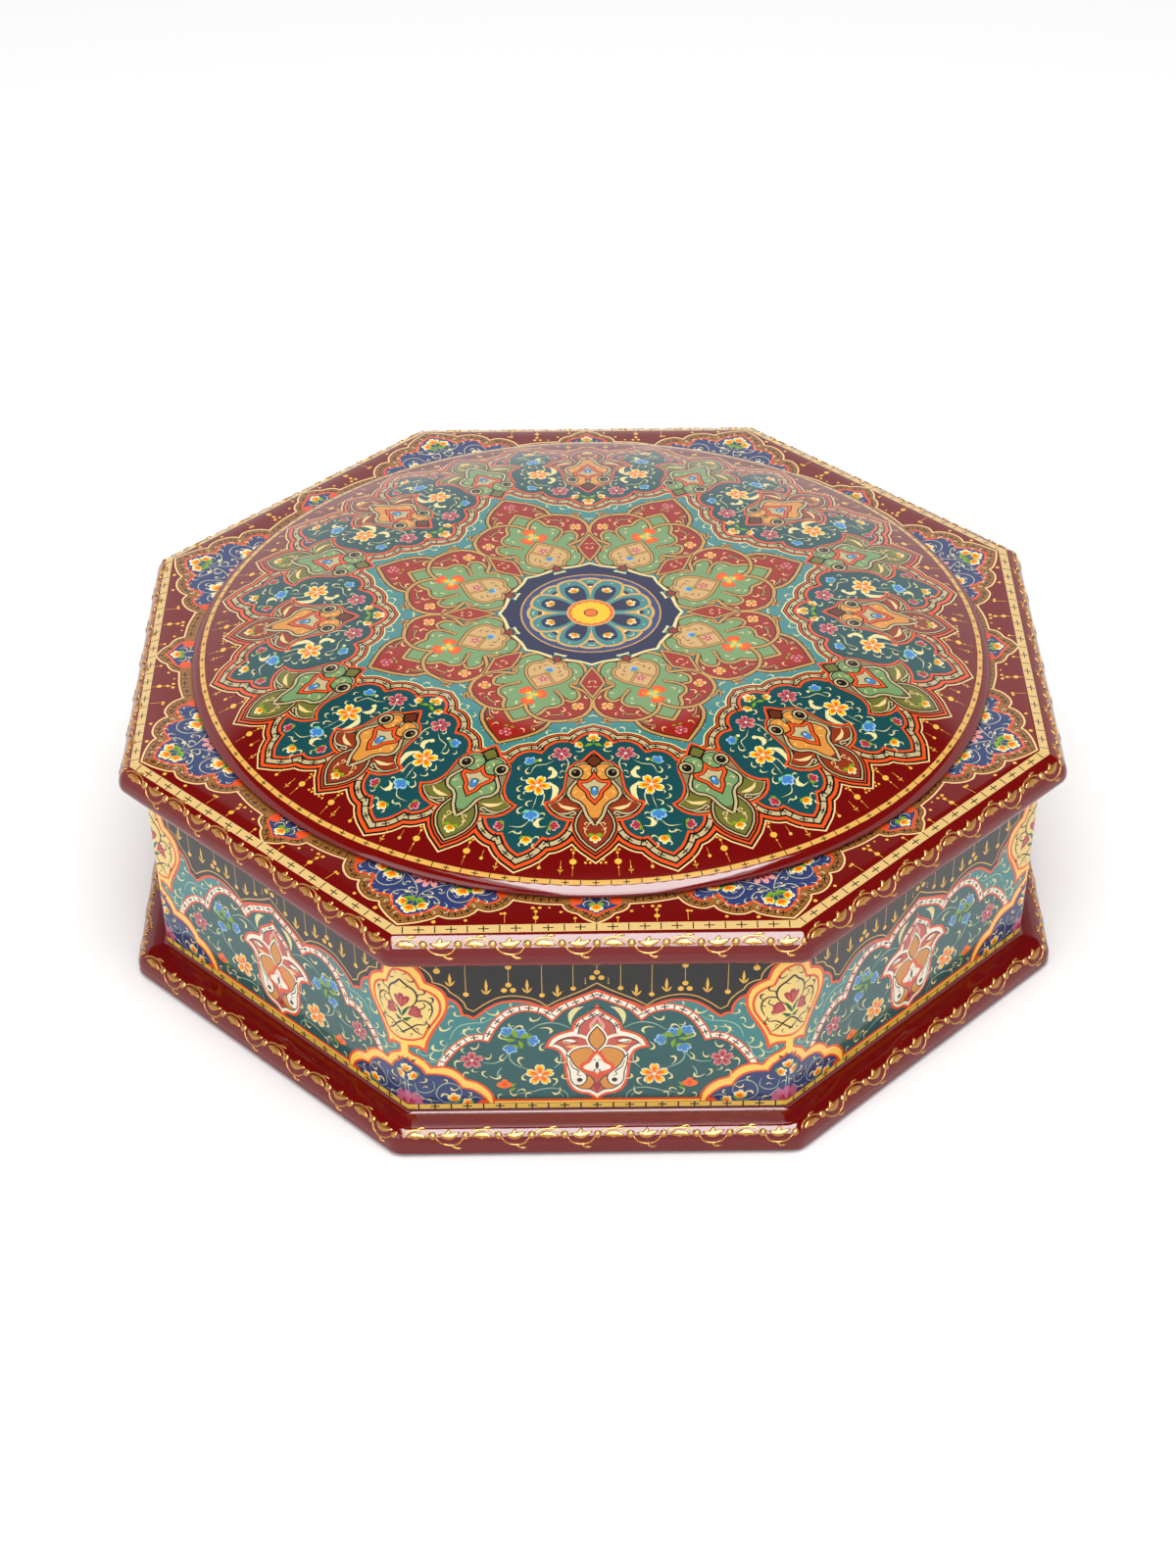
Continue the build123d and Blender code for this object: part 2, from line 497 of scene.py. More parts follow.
# A gold strap with dark edges
def strap(cell, *points, wide=1.0, edge=0.4, paint="strapGold", shade="strapShade", ends=(1.0, 1.0)):
    line = curve(list(points), step=1.3)
    first, last = ends
    cell.put(shade, stroke(line, (wide + 2 * edge) * first, wide + 2 * edge, (wide + 2 * edge) * last))
    cell.put(paint, stroke(line, wide * first, wide, wide * last))


# A cross whose longer arm lies along the band
def crossMark(cell, place, heading, size, bold=0.38):
    for turn, long in ((0, size * 1.25), (90, size * 0.95)):
        arm = flatPoints((-long / 2, 0), (long / 2, 0))
        cell.put("black", placed(stroke(arm, bold), place.x, place.y, heading + turn))


def tickMark(cell, place, heading, size, bold=0.38):
    arm = flatPoints((0, -size / 2), (0, size / 2))
    cell.put("black", placed(stroke(arm, bold), place.x, place.y, heading))


# Gold ground ornament along +Y before it is turned: a drop, an arrow, three dots or one dot on a fine line
def dotTrail(cell, x, y, turn, kind):
    gold = "dotGold"
    if kind == "drop":
        cell.put(gold, placed(stroke(flatPoints((0, -4.4), (0, 4.6)), 0.1, 0.16, 0.1), x, y, turn))
        dot(cell, gold, x, y, 1.05, 0.92, turn=turn)
        for dx, dy, radius in ((0, -2.9, 0.42), (0, 1.9, 0.3), (-0.62, -3.9, 0.36), (0.62, -3.9, 0.36)):
            dot(cell, gold, *spotAt(x, y, turn, dx, dy), radius, sides=6)
    elif kind == "arrow":
        cell.put(gold, placed(stroke(flatPoints((0, -2.6), (0, 1.6)), 0.12, 0.2, 0.12), x, y, turn))
        leaf(cell, gold, 1.3, 0.5, 0, *spotAt(x, y, turn, 0, 0.2), turn + 180)
        for side in (-1, 1):
            leaf(cell, gold, 1.1, 0.36, 0, *spotAt(x, y, turn, 0, 0.9), turn + side * 130)
    elif kind == "three":
        for dx, dy in ((0, -0.6), (-0.66, 0.45), (0.66, 0.45)):
            dot(cell, gold, *spotAt(x, y, turn, dx, dy), 0.4, sides=6)
    else:
        cell.put(gold, placed(stroke(flatPoints((0, -2.8), (0, 0)), 0.1, 0.16, 0.1), x, y, turn))
        dot(cell, gold, x, y, 0.55, sides=7, turn=turn)


# Where a point of a turned shape lies
def spotAt(x, y, turn, dx, dy):
    moved = placed(flatPoints((dx, dy)), x, y, turn)[0]
    return moved.x, moved.y


# A cell seen from another axis: turned round the origin, or moved along the side
class AxisCell:
    def __init__(self, cell, degrees, shiftX=0.0, shiftY=0.0, widen=1.0):
        self.cell = cell
        self.degrees = degrees
        self.shiftX = shiftX
        self.shiftY = shiftY
        self.widen = widen

    def put(self, paint, *lines):
        for line in lines:
            moved = [Vector((p.x * self.widen + self.shiftX, p.y + self.shiftY)) for p in line]
            self.cell.put(paint, onAxis(moved, self.degrees))


# The cell and its mirror image, for what is drawn on both hands of an axis
def bothHands(cell):
    return [AxisCell(cell, 0, widen=side) for side in (1, -1)]


# The dome: a sixteenth is painted, and fifteen turned or mirrored copies complete it
dome = {
    "radius": 122.5, "shoulderRadius": 179.0, "shoulderReach": 60.7, "edgeReach": 2.3, "edgeTurn": 55,
    "lipRadius": 0.7, "underTurn": 150, "ringFrom": 118.4, "ringTo": 119.9, "ringMarks": 11,
    "starGround": 81.0, "fieldLow": 88.0, "gridStep": 7.4, "arcStep": 4.5, "slack": 0.13,
}
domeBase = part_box("lid_dome")[0].z / mm
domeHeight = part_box("lid_dome")[1].z / mm - domeBase
edgeStart = dome["radius"] - dome["edgeReach"]
crownReach = edgeStart - dome["shoulderReach"]
edgeTurn, underTurn = math.radians(dome["edgeTurn"]), math.radians(dome["underTurn"])
shoulderTurn = math.asin(dome["shoulderReach"] / dome["shoulderRadius"])
edgeRadius = dome["edgeReach"] - dome["lipRadius"] * (1 - math.sin(edgeTurn))
edgeRadius = edgeRadius / (math.sin(edgeTurn) - math.sin(shoulderTurn))
lipStart = edgeStart + edgeRadius * (edgeTurn - shoulderTurn)     # where the tight lower edge begins
lipEnd = lipStart + dome["lipRadius"] * (underTurn - edgeTurn)
lipHigh = domeHeight - dome["shoulderRadius"] * (1 - math.cos(shoulderTurn))
lipHigh = lipHigh - edgeRadius * (math.cos(shoulderTurn) - math.cos(edgeTurn))
lipLow = lipHigh - dome["lipRadius"] * (math.cos(edgeTurn) - math.cos(underTurn))
domeReach = lipEnd + lipLow / math.sin(underTurn)                 # the undercut runs in to the board


# Distance over the surface for a radius seen from above
def overEdge(radius):
    if radius <= edgeStart:
        return radius
    turned = (radius - edgeStart) / edgeRadius + math.sin(shoulderTurn)
    return edgeStart + edgeRadius * (math.asin(turned) - shoulderTurn)


# Radius, height and slope for distances over the surface (arrays)
def domeProfile(reach):
    shoulder = np.clip(reach - crownReach, 0, dome["shoulderReach"])
    slope = np.arcsin(shoulder / dome["shoulderRadius"])
    edge = np.clip(reach - edgeStart, 0, lipStart - edgeStart) / edgeRadius
    lip = np.clip(reach - lipStart, 0, lipEnd - lipStart) / dome["lipRadius"]
    under = np.maximum(reach - lipEnd, 0)
    radius = np.minimum(reach, edgeStart)
    radius = radius + edgeRadius * (np.sin(shoulderTurn + edge) - math.sin(shoulderTurn))
    radius = radius + dome["lipRadius"] * (np.sin(edgeTurn + lip) - math.sin(edgeTurn))
    radius = radius + under * math.cos(underTurn)
    height = domeHeight - dome["shoulderRadius"] * (1 - np.cos(slope))
    height = height - edgeRadius * (math.cos(shoulderTurn) - np.cos(shoulderTurn + edge))
    height = height - dome["lipRadius"] * (math.cos(edgeTurn) - np.cos(edgeTurn + lip))
    height = height - under * math.sin(underTurn)
    return radius, domeBase + height, slope + edge + lip


# From the middle of a side to its corner, at a radius
def arcPoints(radius, count=15):
    return [Vector((radius * math.sin(halfSide * k / count), radius * math.cos(halfSide * k / count)))
            for k in range(count + 1)]


# Closed outline of the sixteenth out to a radius
def sector(radius, low=0.0):
    inner = arcPoints(low) + arcPoints(radius)[::-1]
    return inner if low else flatPoints((0, 0)) + arcPoints(radius)


fieldTop = curve([(0, 62.8), (2.3, 63.7), (4.1, 65.3), (5.5, 67.9)],
                 [(7.4, 66.9), (10.1, 66.9), (12.7, 68.5), (14.9, 71.9)],
                 [(17.3, 71.0), (19.9, 71.4), (22.1, 73.0), (23.4, 75.2)])
fieldTip = curve([(0, 111.3), (2.3, 109.8), (3.9, 107.9), (5.6, 104.7)],
                 [(7.3, 105.0), (8.9, 104.2), (10.4, 102.6), (11.3, 100.4), (11.6, 97.5)])


# The teal field of one side, from its scalloped top down to a radius or to its lower points
def fieldOutline(low):
    if low:
        half = fieldTop + flatPoints((30.6, 73.9), (low * math.sin(halfSide), low * math.cos(halfSide)),
                                     (0, low))
    else:
        foot = onAxis(fieldTip[::-1] + mirrored(fieldTip)[1:], 11.25)
        half = fieldTop + flatPoints((30.6, 73.9), (36.7, 88.7)) + foot + flatPoints((0, 97))
    return bothSides(half)


dropLine = evenCurve([(0, 94), (2.6, 94.6), (4.2, 97.2), (4.9, 100.2), (4.4, 102.9), (2.6, 105.8),
                     (0, 108.1)])
cartoucheLine = evenCurve([(0, 70.6), (1.4, 72.1), (3.4, 74.9)],
                          [(5.5, 75.9), (7.1, 77.7), (8.1, 80.5), (8.4, 83.6), (8.9, 86.4), (10.2, 89.0),
                          (12.1, 90.8), (14.5, 91.5)],
                          [(13.9, 93.8), (12.6, 95.9), (10.6, 97.6), (8.2, 98.6), (5.9, 98.8)], [(0, 99.5)])
fieldLayers = [(5.4, "cream"), (4.95, "black"), (4.3, "orangeRed"), (3.3, "black"), (2.7, "bandBeige"),
               (1.35, "black"), (0.75, "orangeRed")]
dropLayers = [(4.0, "cream"), (3.55, "black"), (2.9, "orangeRed"), (2.25, "black"), (1.7, "orangeRed"),
              (1.4, "black"), (0.85, "bandBeige"), (0.42, "black")]
topLayers = [(4.45, "leafCream"), (4.0, "black"), (3.6, "orangeRed"), (3.2, "black"), (2.7, "bandBeige"),
             (1.35, "black"), (0.85, "orangeRed")]


# Alternate crosses and ticks along the middle of a band that lies outside an outline
def bandMarks(cell, line, width, spacing, start, size=1.9):
    for k, (place, heading) in enumerate(alongLine(line, spacing, start)):
        side = math.radians(heading + 90)
        place = place + Vector((math.cos(side), math.sin(side))) * width
        if k % 2:
            tickMark(cell, place, heading, size * 0.9)
        else:
            crossMark(cell, place, heading, size)


# The bell-shaped cartouche on its own axis
def cartouche(cell, ground, body, shadow):
    layered(cell, cartoucheLine, (0, "orangeRed"), (-0.72, "black"), (-1.12, "bandBeige"), (-1.6, "black"),
            (-2.0, shadow))
    layered(cell, dropLine, *dropLayers[4:], (0, ground))
    for flip in bothHands(cell):
        # skirt, its leaf and the curl along its lower edge
        flip.put(ground, closedCurve([(4.6, 92.6), (7.9, 90.2), (9.6, 90.9), (12.6, 92.4)],
                                     [(12.0, 94.8), (10.2, 96.3), (7.0, 96.4), (4.6, 95.6)], [(4.6, 92.6)]))
        flip.put("cream", closedCurve([(4.9, 94.1), (7.2, 94.7), (9.6, 93.5), (10.6, 91.6)],
                                      [(9.0, 92.9), (7.2, 93.4), (4.9, 94.1)]))
        strap(flip, (7.0, 96.6), (5.4, 96.2), (6.0, 95.2), (7.6, 95.9), (9.8, 96.0), (11.7, 94.6),
              (13.0, 92.6), wide=0.6, edge=0.3, paint="bandBeige", shade="black", ends=(0.8, 0.5))
        # shoulder band that runs out of the curl
        band = curve([(5.4, 79.0), (6.3, 81.5), (6.9, 84.2), (7.6, 87.0), (8.9, 89.4)], step=1.2)
        flip.put("black", stroke(band, 3.0, 2.3, 0.8))
        flip.put("curlBrown", stroke(band, 2.6, 1.8, 0.4))
        # body
        bodyLine = curve([(4.0, 78.6), (3.9, 81.0), (4.9, 83.4), (6.6, 85.8), (7.4, 88.2), (6.5, 90.6),
                         (4.4, 91.9), (3.3, 93.4), (2.7, 95.9), (1.3, 98.7), (-0.4, 101.0)], step=1.2)
        flip.put(body, bodyLine[:-4] + flatPoints((0, 97.5), (0, 82)))
        strapLine = [tuple(p) for p in bodyLine[::2]]
        strap(flip, *strapLine, wide=0.75, edge=0.42, paint="bandBeige", shade="black")
        # lobe and curl
        lobe = placed(roundSpot(2.75, 3.2, 14), 2.85, 79.8)
        layered(flip, lobe, (1.1, "black"), (0.75, "bandBeige"), (0.36, "black"), (0, body))
        dot(flip, "black", 5.3, 80.2, 2.4, 2.7, 12)
        dot(flip, "bandBeige", 5.3, 80.2, 1.95, 2.25, 12)
        dot(flip, "black", 5.2, 80.3, 1.4, 1.65, 10)
        dot(flip, "curlBrown", 5.5, 79.8, 0.4, 0.5, 6)
        pale = {"ochre": "paleOchre", "leafGreen": "cream"}[body]
        scrolls(flip, pale, 1.3, (2.4, 78.6, 20), (1.7, 80.9, 150, -1.1), (5.4, 87.6, 10),
                (3.4, 90.0, 60, -1.2))
        # leaves and scroll in the drop
        leaf(flip, "brightGreen", 2.0, 1.1, 0.1, 0.3, 103.4, -75)
        scrolls(flip, "cream", 1.2, (2.6, 99.3, 10), (3.0, 101.6, 160, -1.0))
        stem(flip, "cream", 0.3, (0.6, 98.6), (2.4, 100.8), (2.9, 102.6), (1.8, 104.6))
    # the red heart and what it holds, the diamond above it and a bud in the drop
    heart = evenCurve([(0, 79.8), (0.9, 82.2), (2.4, 83.5), (4.5, 83.3)],
                      [(4.6, 85.2), (3.4, 86.9), (2.4, 88.1), (2.0, 90.0)], [(0, 92.6)])
    layered(cell, heart, (0.4, "black"), (0, "orangeRed"), (-0.8, "black"), (-1.1, "bandBeige"))
    leaf(cell, "leafGreen", 1.9, 1.0, 0, 0, 85.9, 70)
    leaf(cell, "leafGreen", 1.9, 1.0, 0, 0, 85.9, -70)
    dot(cell, "black", 0, 87.5, 1.15, 1.9, 10)
    dot(cell, "blue", 0, 87.6, 0.9, 1.6, 10)
    dot(cell, "paleBlue", 0, 86.8, 0.45, 0.7, 7)
    diamond = evenCurve([(0, 73.0), (1.1, 74.0), (2.0, 75.5)], [(1.2, 76.3), (0, 77.6)])
    layered(cell, diamond, (0.5, "black"), (0, shadow))
    bud(cell, 0, 103.6, 2.1, 0, "yellow")


# One point of the star on its own axis, straps over red and green
def petalStar(cell):
    cell.put("strapShade", evenCurve([(0, 25.6), (2.2, 27.2)],
                                     [(5.6, 25.4), (9.0, 26.8), (11.3, 30.0), (11.6, 34.0), (10.2, 37.6)],
                                     [(14.0, 38.3), (17.8, 41.2), (19.5, 45.4), (19.1, 50.6), (16.6, 54.3),
                                     (12.6, 56.5), (10.6, 57.3)],
                                     [(10.2, 61.0), (8.2, 64.6), (4.4, 68.6), (0, 72.7)]))
    cell.put("starRed", evenCurve([(0, 40), (9.0, 38.8)],
                                  [(13.6, 39.5), (17.0, 42.4), (18.0, 46.6), (17.2, 51.2), (13.6, 54.4),
                                  (9.2, 56.6)], [(9.0, 60.2), (7.0, 64.0), (3.6, 67.6), (0, 70.8)]))
    cell.put("leafGreen", evenCurve([(0, 28.6), (2.4, 28.4)],
                                    [(5.8, 26.8), (8.7, 28.4), (10.1, 31.6), (9.6, 35.2), (8.6, 38.6)],
                                    [(11.2, 39.6), (13.1, 42.2), (12.2, 45.0), (9.0, 44.2), (8.2, 45.4)],
                                    [(10.0, 47.6), (9.0, 50.0), (6.4, 51.6)],
                                    [(6.0, 54.4), (3.6, 57.6), (0, 61.2)]))
    for flip in bothHands(cell):
        # side lobe flower and leaves on the red
        blossom(flip, 14.9, 47.2, 1.9, 20, "yellow", 4)
        leaf(flip, "brightGreen", 1.9, 0.9, 0.1, 14.2, 48.8, 150)
        scrolls(flip, "cream", 1.9, (15.6, 42.6, 160, 1.8), (12.2, 50.4, 60), (8.6, 53.9, 100, -2.0),
                (14.4, 51.6, 40, 1.2), (6.8, 59.2, 150, 2.0), (4.6, 63.4, 60, -1.6), (7.3, 62.2, 20, 1.2))
        leaf(flip, "brightGreen", 1.6, 0.8, 0.1, 0.2, 63.6, -80)
        scrolls(flip, "leafCream", 1.2, (7.9, 30.8, 30), (8.4, 34.6, 200), (11.2, 41.8, 120),
                (2.8, 52.4, 150, -1.8), (7.0, 46.6, 60), (4.6, 56.0, 200, 1.2), (7.8, 48.8, 150, -1.0),
                (3.2, 44.2, 80, -1.2))
        # straps: top lobe, second lobe, third lobe, the big outer one, the point and three small curls
        strap(flip, (0, 27.2), (3.0, 26.5), (6.2, 25.9), (9.0, 27.6), (10.9, 30.9), (10.9, 34.6),
              (9.0, 38.4), wide=0.95)
        strap(flip, (9.4, 33.0), (10.0, 35.0), (8.9, 36.9), (9.0, 38.4), (12.0, 40.1), (13.6, 42.8),
              (12.6, 45.6), (10.0, 45.6), (7.6, 43.9), (5.6, 42.3), (6.4, 41.7), wide=0.9, ends=(0.5, 0.7))
        strap(flip, (6.0, 42.3), (8.4, 44.2), (10.2, 47.2), (9.2, 49.9), (6.7, 51.4), (6.0, 54.4),
              (3.3, 58.0), (0, 61.3), wide=0.95, ends=(0.6, 1.0))
        strap(flip, (9.0, 38.4), (14.0, 39.6), (17.4, 42.6), (18.7, 46.8), (18.1, 51.0), (15.6, 54.2),
              (10.6, 57.0), (7.0, 57.2), (3.4, 55.9), (1.2, 53.8), (0, 51.6), wide=1.0)
        strap(flip, (10.2, 57.3), (10.0, 60.5), (8.5, 63.7), (5.8, 66.9), (2.8, 69.5), (0, 71.9), wide=0.9)
        strap(flip, (14.6, 55.2), (17.0, 54.4), (18.2, 52.6), (18.6, 54.2), (17.6, 56.0), wide=0.7,
              ends=(0.7, 0.5))
        strap(flip, (8.8, 58.0), (7.4, 60.6), (6.0, 61.4), (6.6, 62.8), wide=0.5, ends=(0.6, 0.5))
        strap(flip, (8.2, 54.6), (11.0, 53.4), (12.0, 52.0), (12.4, 53.4), wide=0.5, ends=(0.6, 0.5))
    # shield with a rose and a blue bud
    shield = evenCurve([(0, 29.8), (2.6, 28.7), (3.4, 30.6)],
                       [(5.4, 31.4), (6.3, 33.6), (5.4, 36.8), (3.0, 39.6), (0, 42.4)])
    layered(cell, shield, (1.25, "strapShade"), (0.95, "strapGold"), (0.25, "strapShade"),
            (0, "shieldCream"))
    for flip in bothHands(cell):
        scrolls(flip, "strapShade", 1.4, (3.4, 32.6, 60), (4.4, 34.6, 150, -1.2), (2.2, 30.8, 10, 1.0))
        strap(flip, (0.2, 34.4), (-1.6, 36.6), (-3.6, 38.6), wide=0.55, edge=0.2)
    bud(cell, 0, 34.0, 1.9, 180, "blue")
    blossom(cell, 0, 38.0, 1.7, 0, "rose")
    cell.put("strapShade", evenCurve([(0, 24.6), (1.6, 26.4), (0, 29.4)]))
    cell.put("starRed", evenCurve([(0, 25.6), (1.0, 26.6), (0, 28.4)]))
    # orange flower in the green field and rose at the point
    for turn in (0, 125, -125):
        petal(cell, "orangeRed", 4.6, 4.6, 0, 47.0, turn)
    for turn in (0, 125, -125):
        petal(cell, "petalOrange", 3.6, 2.8, 0, 47.0, turn)
        petal(cell, "petalYellow", 2.1, 1.7, 0, 47.0, turn)
    for turn in (60, -60, 180):
        leaf(cell, "mint", 2.4, 0.9, 0.05, 0, 47.0, turn)
    blossom(cell, 0, 66.4, 1.9, 180, "rose", 3)


def paintDome():
    cell = Cell("deepRed", sector(domeReach), dome["slack"])
    corner = AxisCell(cell, 22.5, shiftY=2.0, widen=1.04)
    star = AxisCell(cell, 22.5)
    field = fieldOutline(0)
    # ring
    cell.put("ringGold", sector(overEdge(dome["ringTo"]), overEdge(dome["ringFrom"])))
    middle = (overEdge(dome["ringFrom"]) + overEdge(dome["ringTo"])) / 2
    for k in range(dome["ringMarks"] + 1):
        turn = halfSide * k / dome["ringMarks"]
        place = Vector((middle * math.sin(turn), middle * math.cos(turn)))
        (tickMark if k % 2 else crossMark)(cell, place, -math.degrees(turn), 1.5, 0.3)
    # outlines that the points of the field and of the cartouches share
    for (wide, paint), (dropWide, _) in zip(fieldLayers[:4], dropLayers[:4]):
        cell.put(paint, grown(field, wide))
        cell.put(paint, grown(dropLine, dropWide))
        corner.put(paint, grown(dropLine, dropWide))
    layered(cell, field, *fieldLayers[4:])
    foot = onAxis(fieldTip[::-1] + mirrored(fieldTip)[1:], 11.25)
    bandMarks(cell, foot, -2.0, 2.7, 1.0)
    # turquoise round the star, then the field's scalloped top
    cell.put("turquoise", sector(dome["starGround"]))
    layered(cell, fieldOutline(dome["fieldLow"]), *topLayers)
    bandMarks(cell, fieldTop, -2.0, 2.7, 1.4)
    cell.put("darkTeal", field)
    paintField(cell)
    scrolls(cell, "leafCream", 1.7, (3.6, 57.2, 100), (9.0, 60.2, 70, -1.8), (13.6, 61.8, 40),
            (19.8, 64.2, 60, -1.6), (25.8, 66.0, 30, 1.4), (12.4, 57.9, 200, 1.2), (20.6, 59.6, 250, 1.3),
            (0.9, 54.4, 150, 1.5), (2.4, 50.8, 20, -1.4), (17.4, 62.6, 10, 1.1), (25.4, 63.2, 90, -1.2),
            (6.2, 61.0, 240, 1.2))
    petalStar(star)
    diamondRed = evenCurve([(0, 30.6), (1.9, 34.4), (3.0, 37.6)], [(1.6, 40.4), (0, 43.6)])
    layered(cell, diamondRed, (1.2, "strapShade"), (0.85, "strapGold"), (0.2, "strapShade"), (0, "starRed"))
    scrolls(cell, "cream", 1.3, (0.9, 36.6, 20), (0.8, 39.6, 160, 1.0), (-0.9, 36.6, -20, -1.3))
    paintMiddle(cell, star)
    cartouche(cell, "brownRed", "ochre", "dropBrown")
    cartouche(corner, "olive", "leafGreen", "olive")
    # gold on the red ground
    for turn, radius, kind in ((1.1, 112.4, "three"), (3.2, 112.6, "drop"), (7.9, 115.0, "dot"),
                               (13.9, 115.7, "arrow"), (16.2, 114.2, "dot"), (18.6, 112.8, "drop"),
                               (4.9, 115.0, "arrow")):
        a = math.radians(turn)
        dotTrail(cell, radius * math.sin(a), radius * math.cos(a), -turn, kind)
    return cell


# Flowers, buds and scrolls on the teal
def paintField(cell):
    for x, y, radius, turn, kind in ((16.2, 84.9, 3.9, 10, "yellow"), (9.2, 72.0, 3.0, 0, "rose")):
        stem(cell, "leafCream", 0.34, (x, y), (x - 2, y + 4), (x - 1, y + 8))
        blossom(cell, x, y, radius, turn, kind)
    blossom(cell, 0.2, 64.9, 1.9, 180, "yellow", 3)
    for turn in (60, -60, 180):
        leaf(cell, "brightGreen", 3.0, 1.3, 0.1, 0, 67.6, turn)
    for x, y, turn in ((3.2, 67.6, -60), (0, 65.6, 180)):
        bud(cell, x, y, 1.9, turn, "yellow")
    for x, y, size, turn, kind in ((17.3, 75.9, 2.4, -140, "blue"), (18.0, 94.3, 3.0, 0, "mintBell"),
                                   (12.9, 99.9, 2.3, 80, "rose"), (25.6, 99.0, 2.3, -80, "rose"),
                                   (19.4, 103.4, 2.3, 0, "yellow")):
        bud(cell, x, y, size, turn, kind)
    for x, y, radius in ((12.4, 78.3, 0.8), (15.4, 74.6, 0.6)):
        dot(cell, "leafCream", x, y, radius, sides=7)
    stem(cell, "leafCream", 0.32, (16.2, 88.4), (16.9, 91.4), (17.8, 94.2))
    stem(cell, "leafCream", 0.32, (18.0, 97.4), (16.4, 100.4), (13.4, 100.2))
    stem(cell, "leafCream", 0.32, (18.3, 97.6), (20.6, 100.0), (24.6, 99.4))
    stem(cell, "leafCream", 0.32, (11.0, 74.6), (13.6, 76.4), (16.6, 76.8), (18.2, 80.6))
    cell.put("leafCream", closedCurve([(13.0, 83.4), (10.2, 86.2), (10.6, 89.2), (12.6, 91.2)],
                                      [(12.0, 88.8), (12.0, 86.0), (13.0, 83.4)]))
    cell.put("leafCream", closedCurve([(12.0, 77.6), (10.4, 80.2), (11.2, 82.0), (13.4, 82.4)],
                                      [(12.0, 80.6), (12.0, 79.2), (12.0, 77.6)]))
    cell.put("leafCream", closedCurve([(14.2, 97.2), (15.8, 98.4), (15.4, 100.6)],
                                      [(17.4, 99.6), (16.2, 97.4), (14.2, 97.2)]))
    scrolls(cell, "leafCream", 1.8, (3.2, 71.0, 200), (5.6, 74.0, 120, -1.5), (13.0, 73.4, 60, 1.6),
            (19.6, 79.4, 80, 1.9), (20.6, 82.6, 160, -1.6), (22.0, 86.0, 60), (21.6, 89.6, 140, -1.7),
            (19.4, 91.4, 40, 1.8), (14.6, 92.4, 100, 1.5), (22.0, 94.2, 60, 2.0), (14.8, 95.4, 20, -1.5),
            (21.6, 102.4, 150, 1.7), (16.6, 103.6, 30, -1.6), (21.4, 105.6, 30, 1.5),
            (17.8, 106.8, 120, -1.4), (9.6, 82.2, 150, 1.3), (10.2, 96.6, 60, 1.5), (13.6, 102.6, 90, 1.4),
            (23.0, 101.4, 10, -1.4), (9.0, 76.6, 10, 1.4), (9.4, 79.4, 60, -1.2), (21.8, 77.6, 60, 1.4),
            (19.9, 87.2, 20, 1.3))


# A plain rosette in the middle of the star
def paintMiddle(cell, star):
    cell.put("leafCream", evenCurve([(0, 28.4), (3.4, 26.6), (8.4, 25.6)], [(0, 10)]))
    cell.put("leafCream", sector(24.9))
    cell.put("deepNavy", evenCurve([(0, 27.4), (3.2, 25.9), (8.2, 24.6)], [(0, 10)]))
    for paint, radius in (("deepNavy", 24.2), ("strapGold", 21.6), ("navy", 21.1)):
        cell.put(paint, sector(radius))
    for axis in (cell, star):
        axis.put("lineGold", petalShape(19.6, 10.4))
        axis.put("skyTeal", grown(placed(petalShape(18.6, 9.0), 0, 0.2), -0.1))
        petal(axis, "deepNavy", 13.4, 6.2, 0, 2.8)
        bud(axis, 0, 12.0, 2.2, 0, "yellow")
        scrolls(axis, "leafCream", 1.3, (0.4, 17.8, 150, 1.1))
    cell.put("lineGold", sector(7.4))
    cell.put("orangeRed", sector(6.8))
    for axis in (cell, star):
        axis.put("petalYellow", petalShape(6.2, 2.6))
    cell.put("black", sector(2.2))
    cell.put("petalOrange", sector(1.8))


# Meshes: a painted patch is bent onto its surface, copied round and closed
sixteenths = [(side, 45 * k) for k in range(8) for side in (1, -1)]
seamGap = 0.002                    # points of two copies that are nearer than this are one


# Points and normals of the dome for a patch drawn flat, with Y outwards
def bendDome(flat, mirror, turn):
    reach = np.hypot(flat[:, 0], flat[:, 1])
    around = np.arctan2(flat[:, 0], flat[:, 1]) * mirror + math.radians(turn)
    radius, height, slope = domeProfile(reach)
    outX, outY = np.sin(around), -np.cos(around)
    points = np.stack([radius * outX, radius * outY, height], axis=1)
    normals = np.stack([np.sin(slope) * outX, np.sin(slope) * outY, np.cos(slope)], axis=1)
    return points, normals


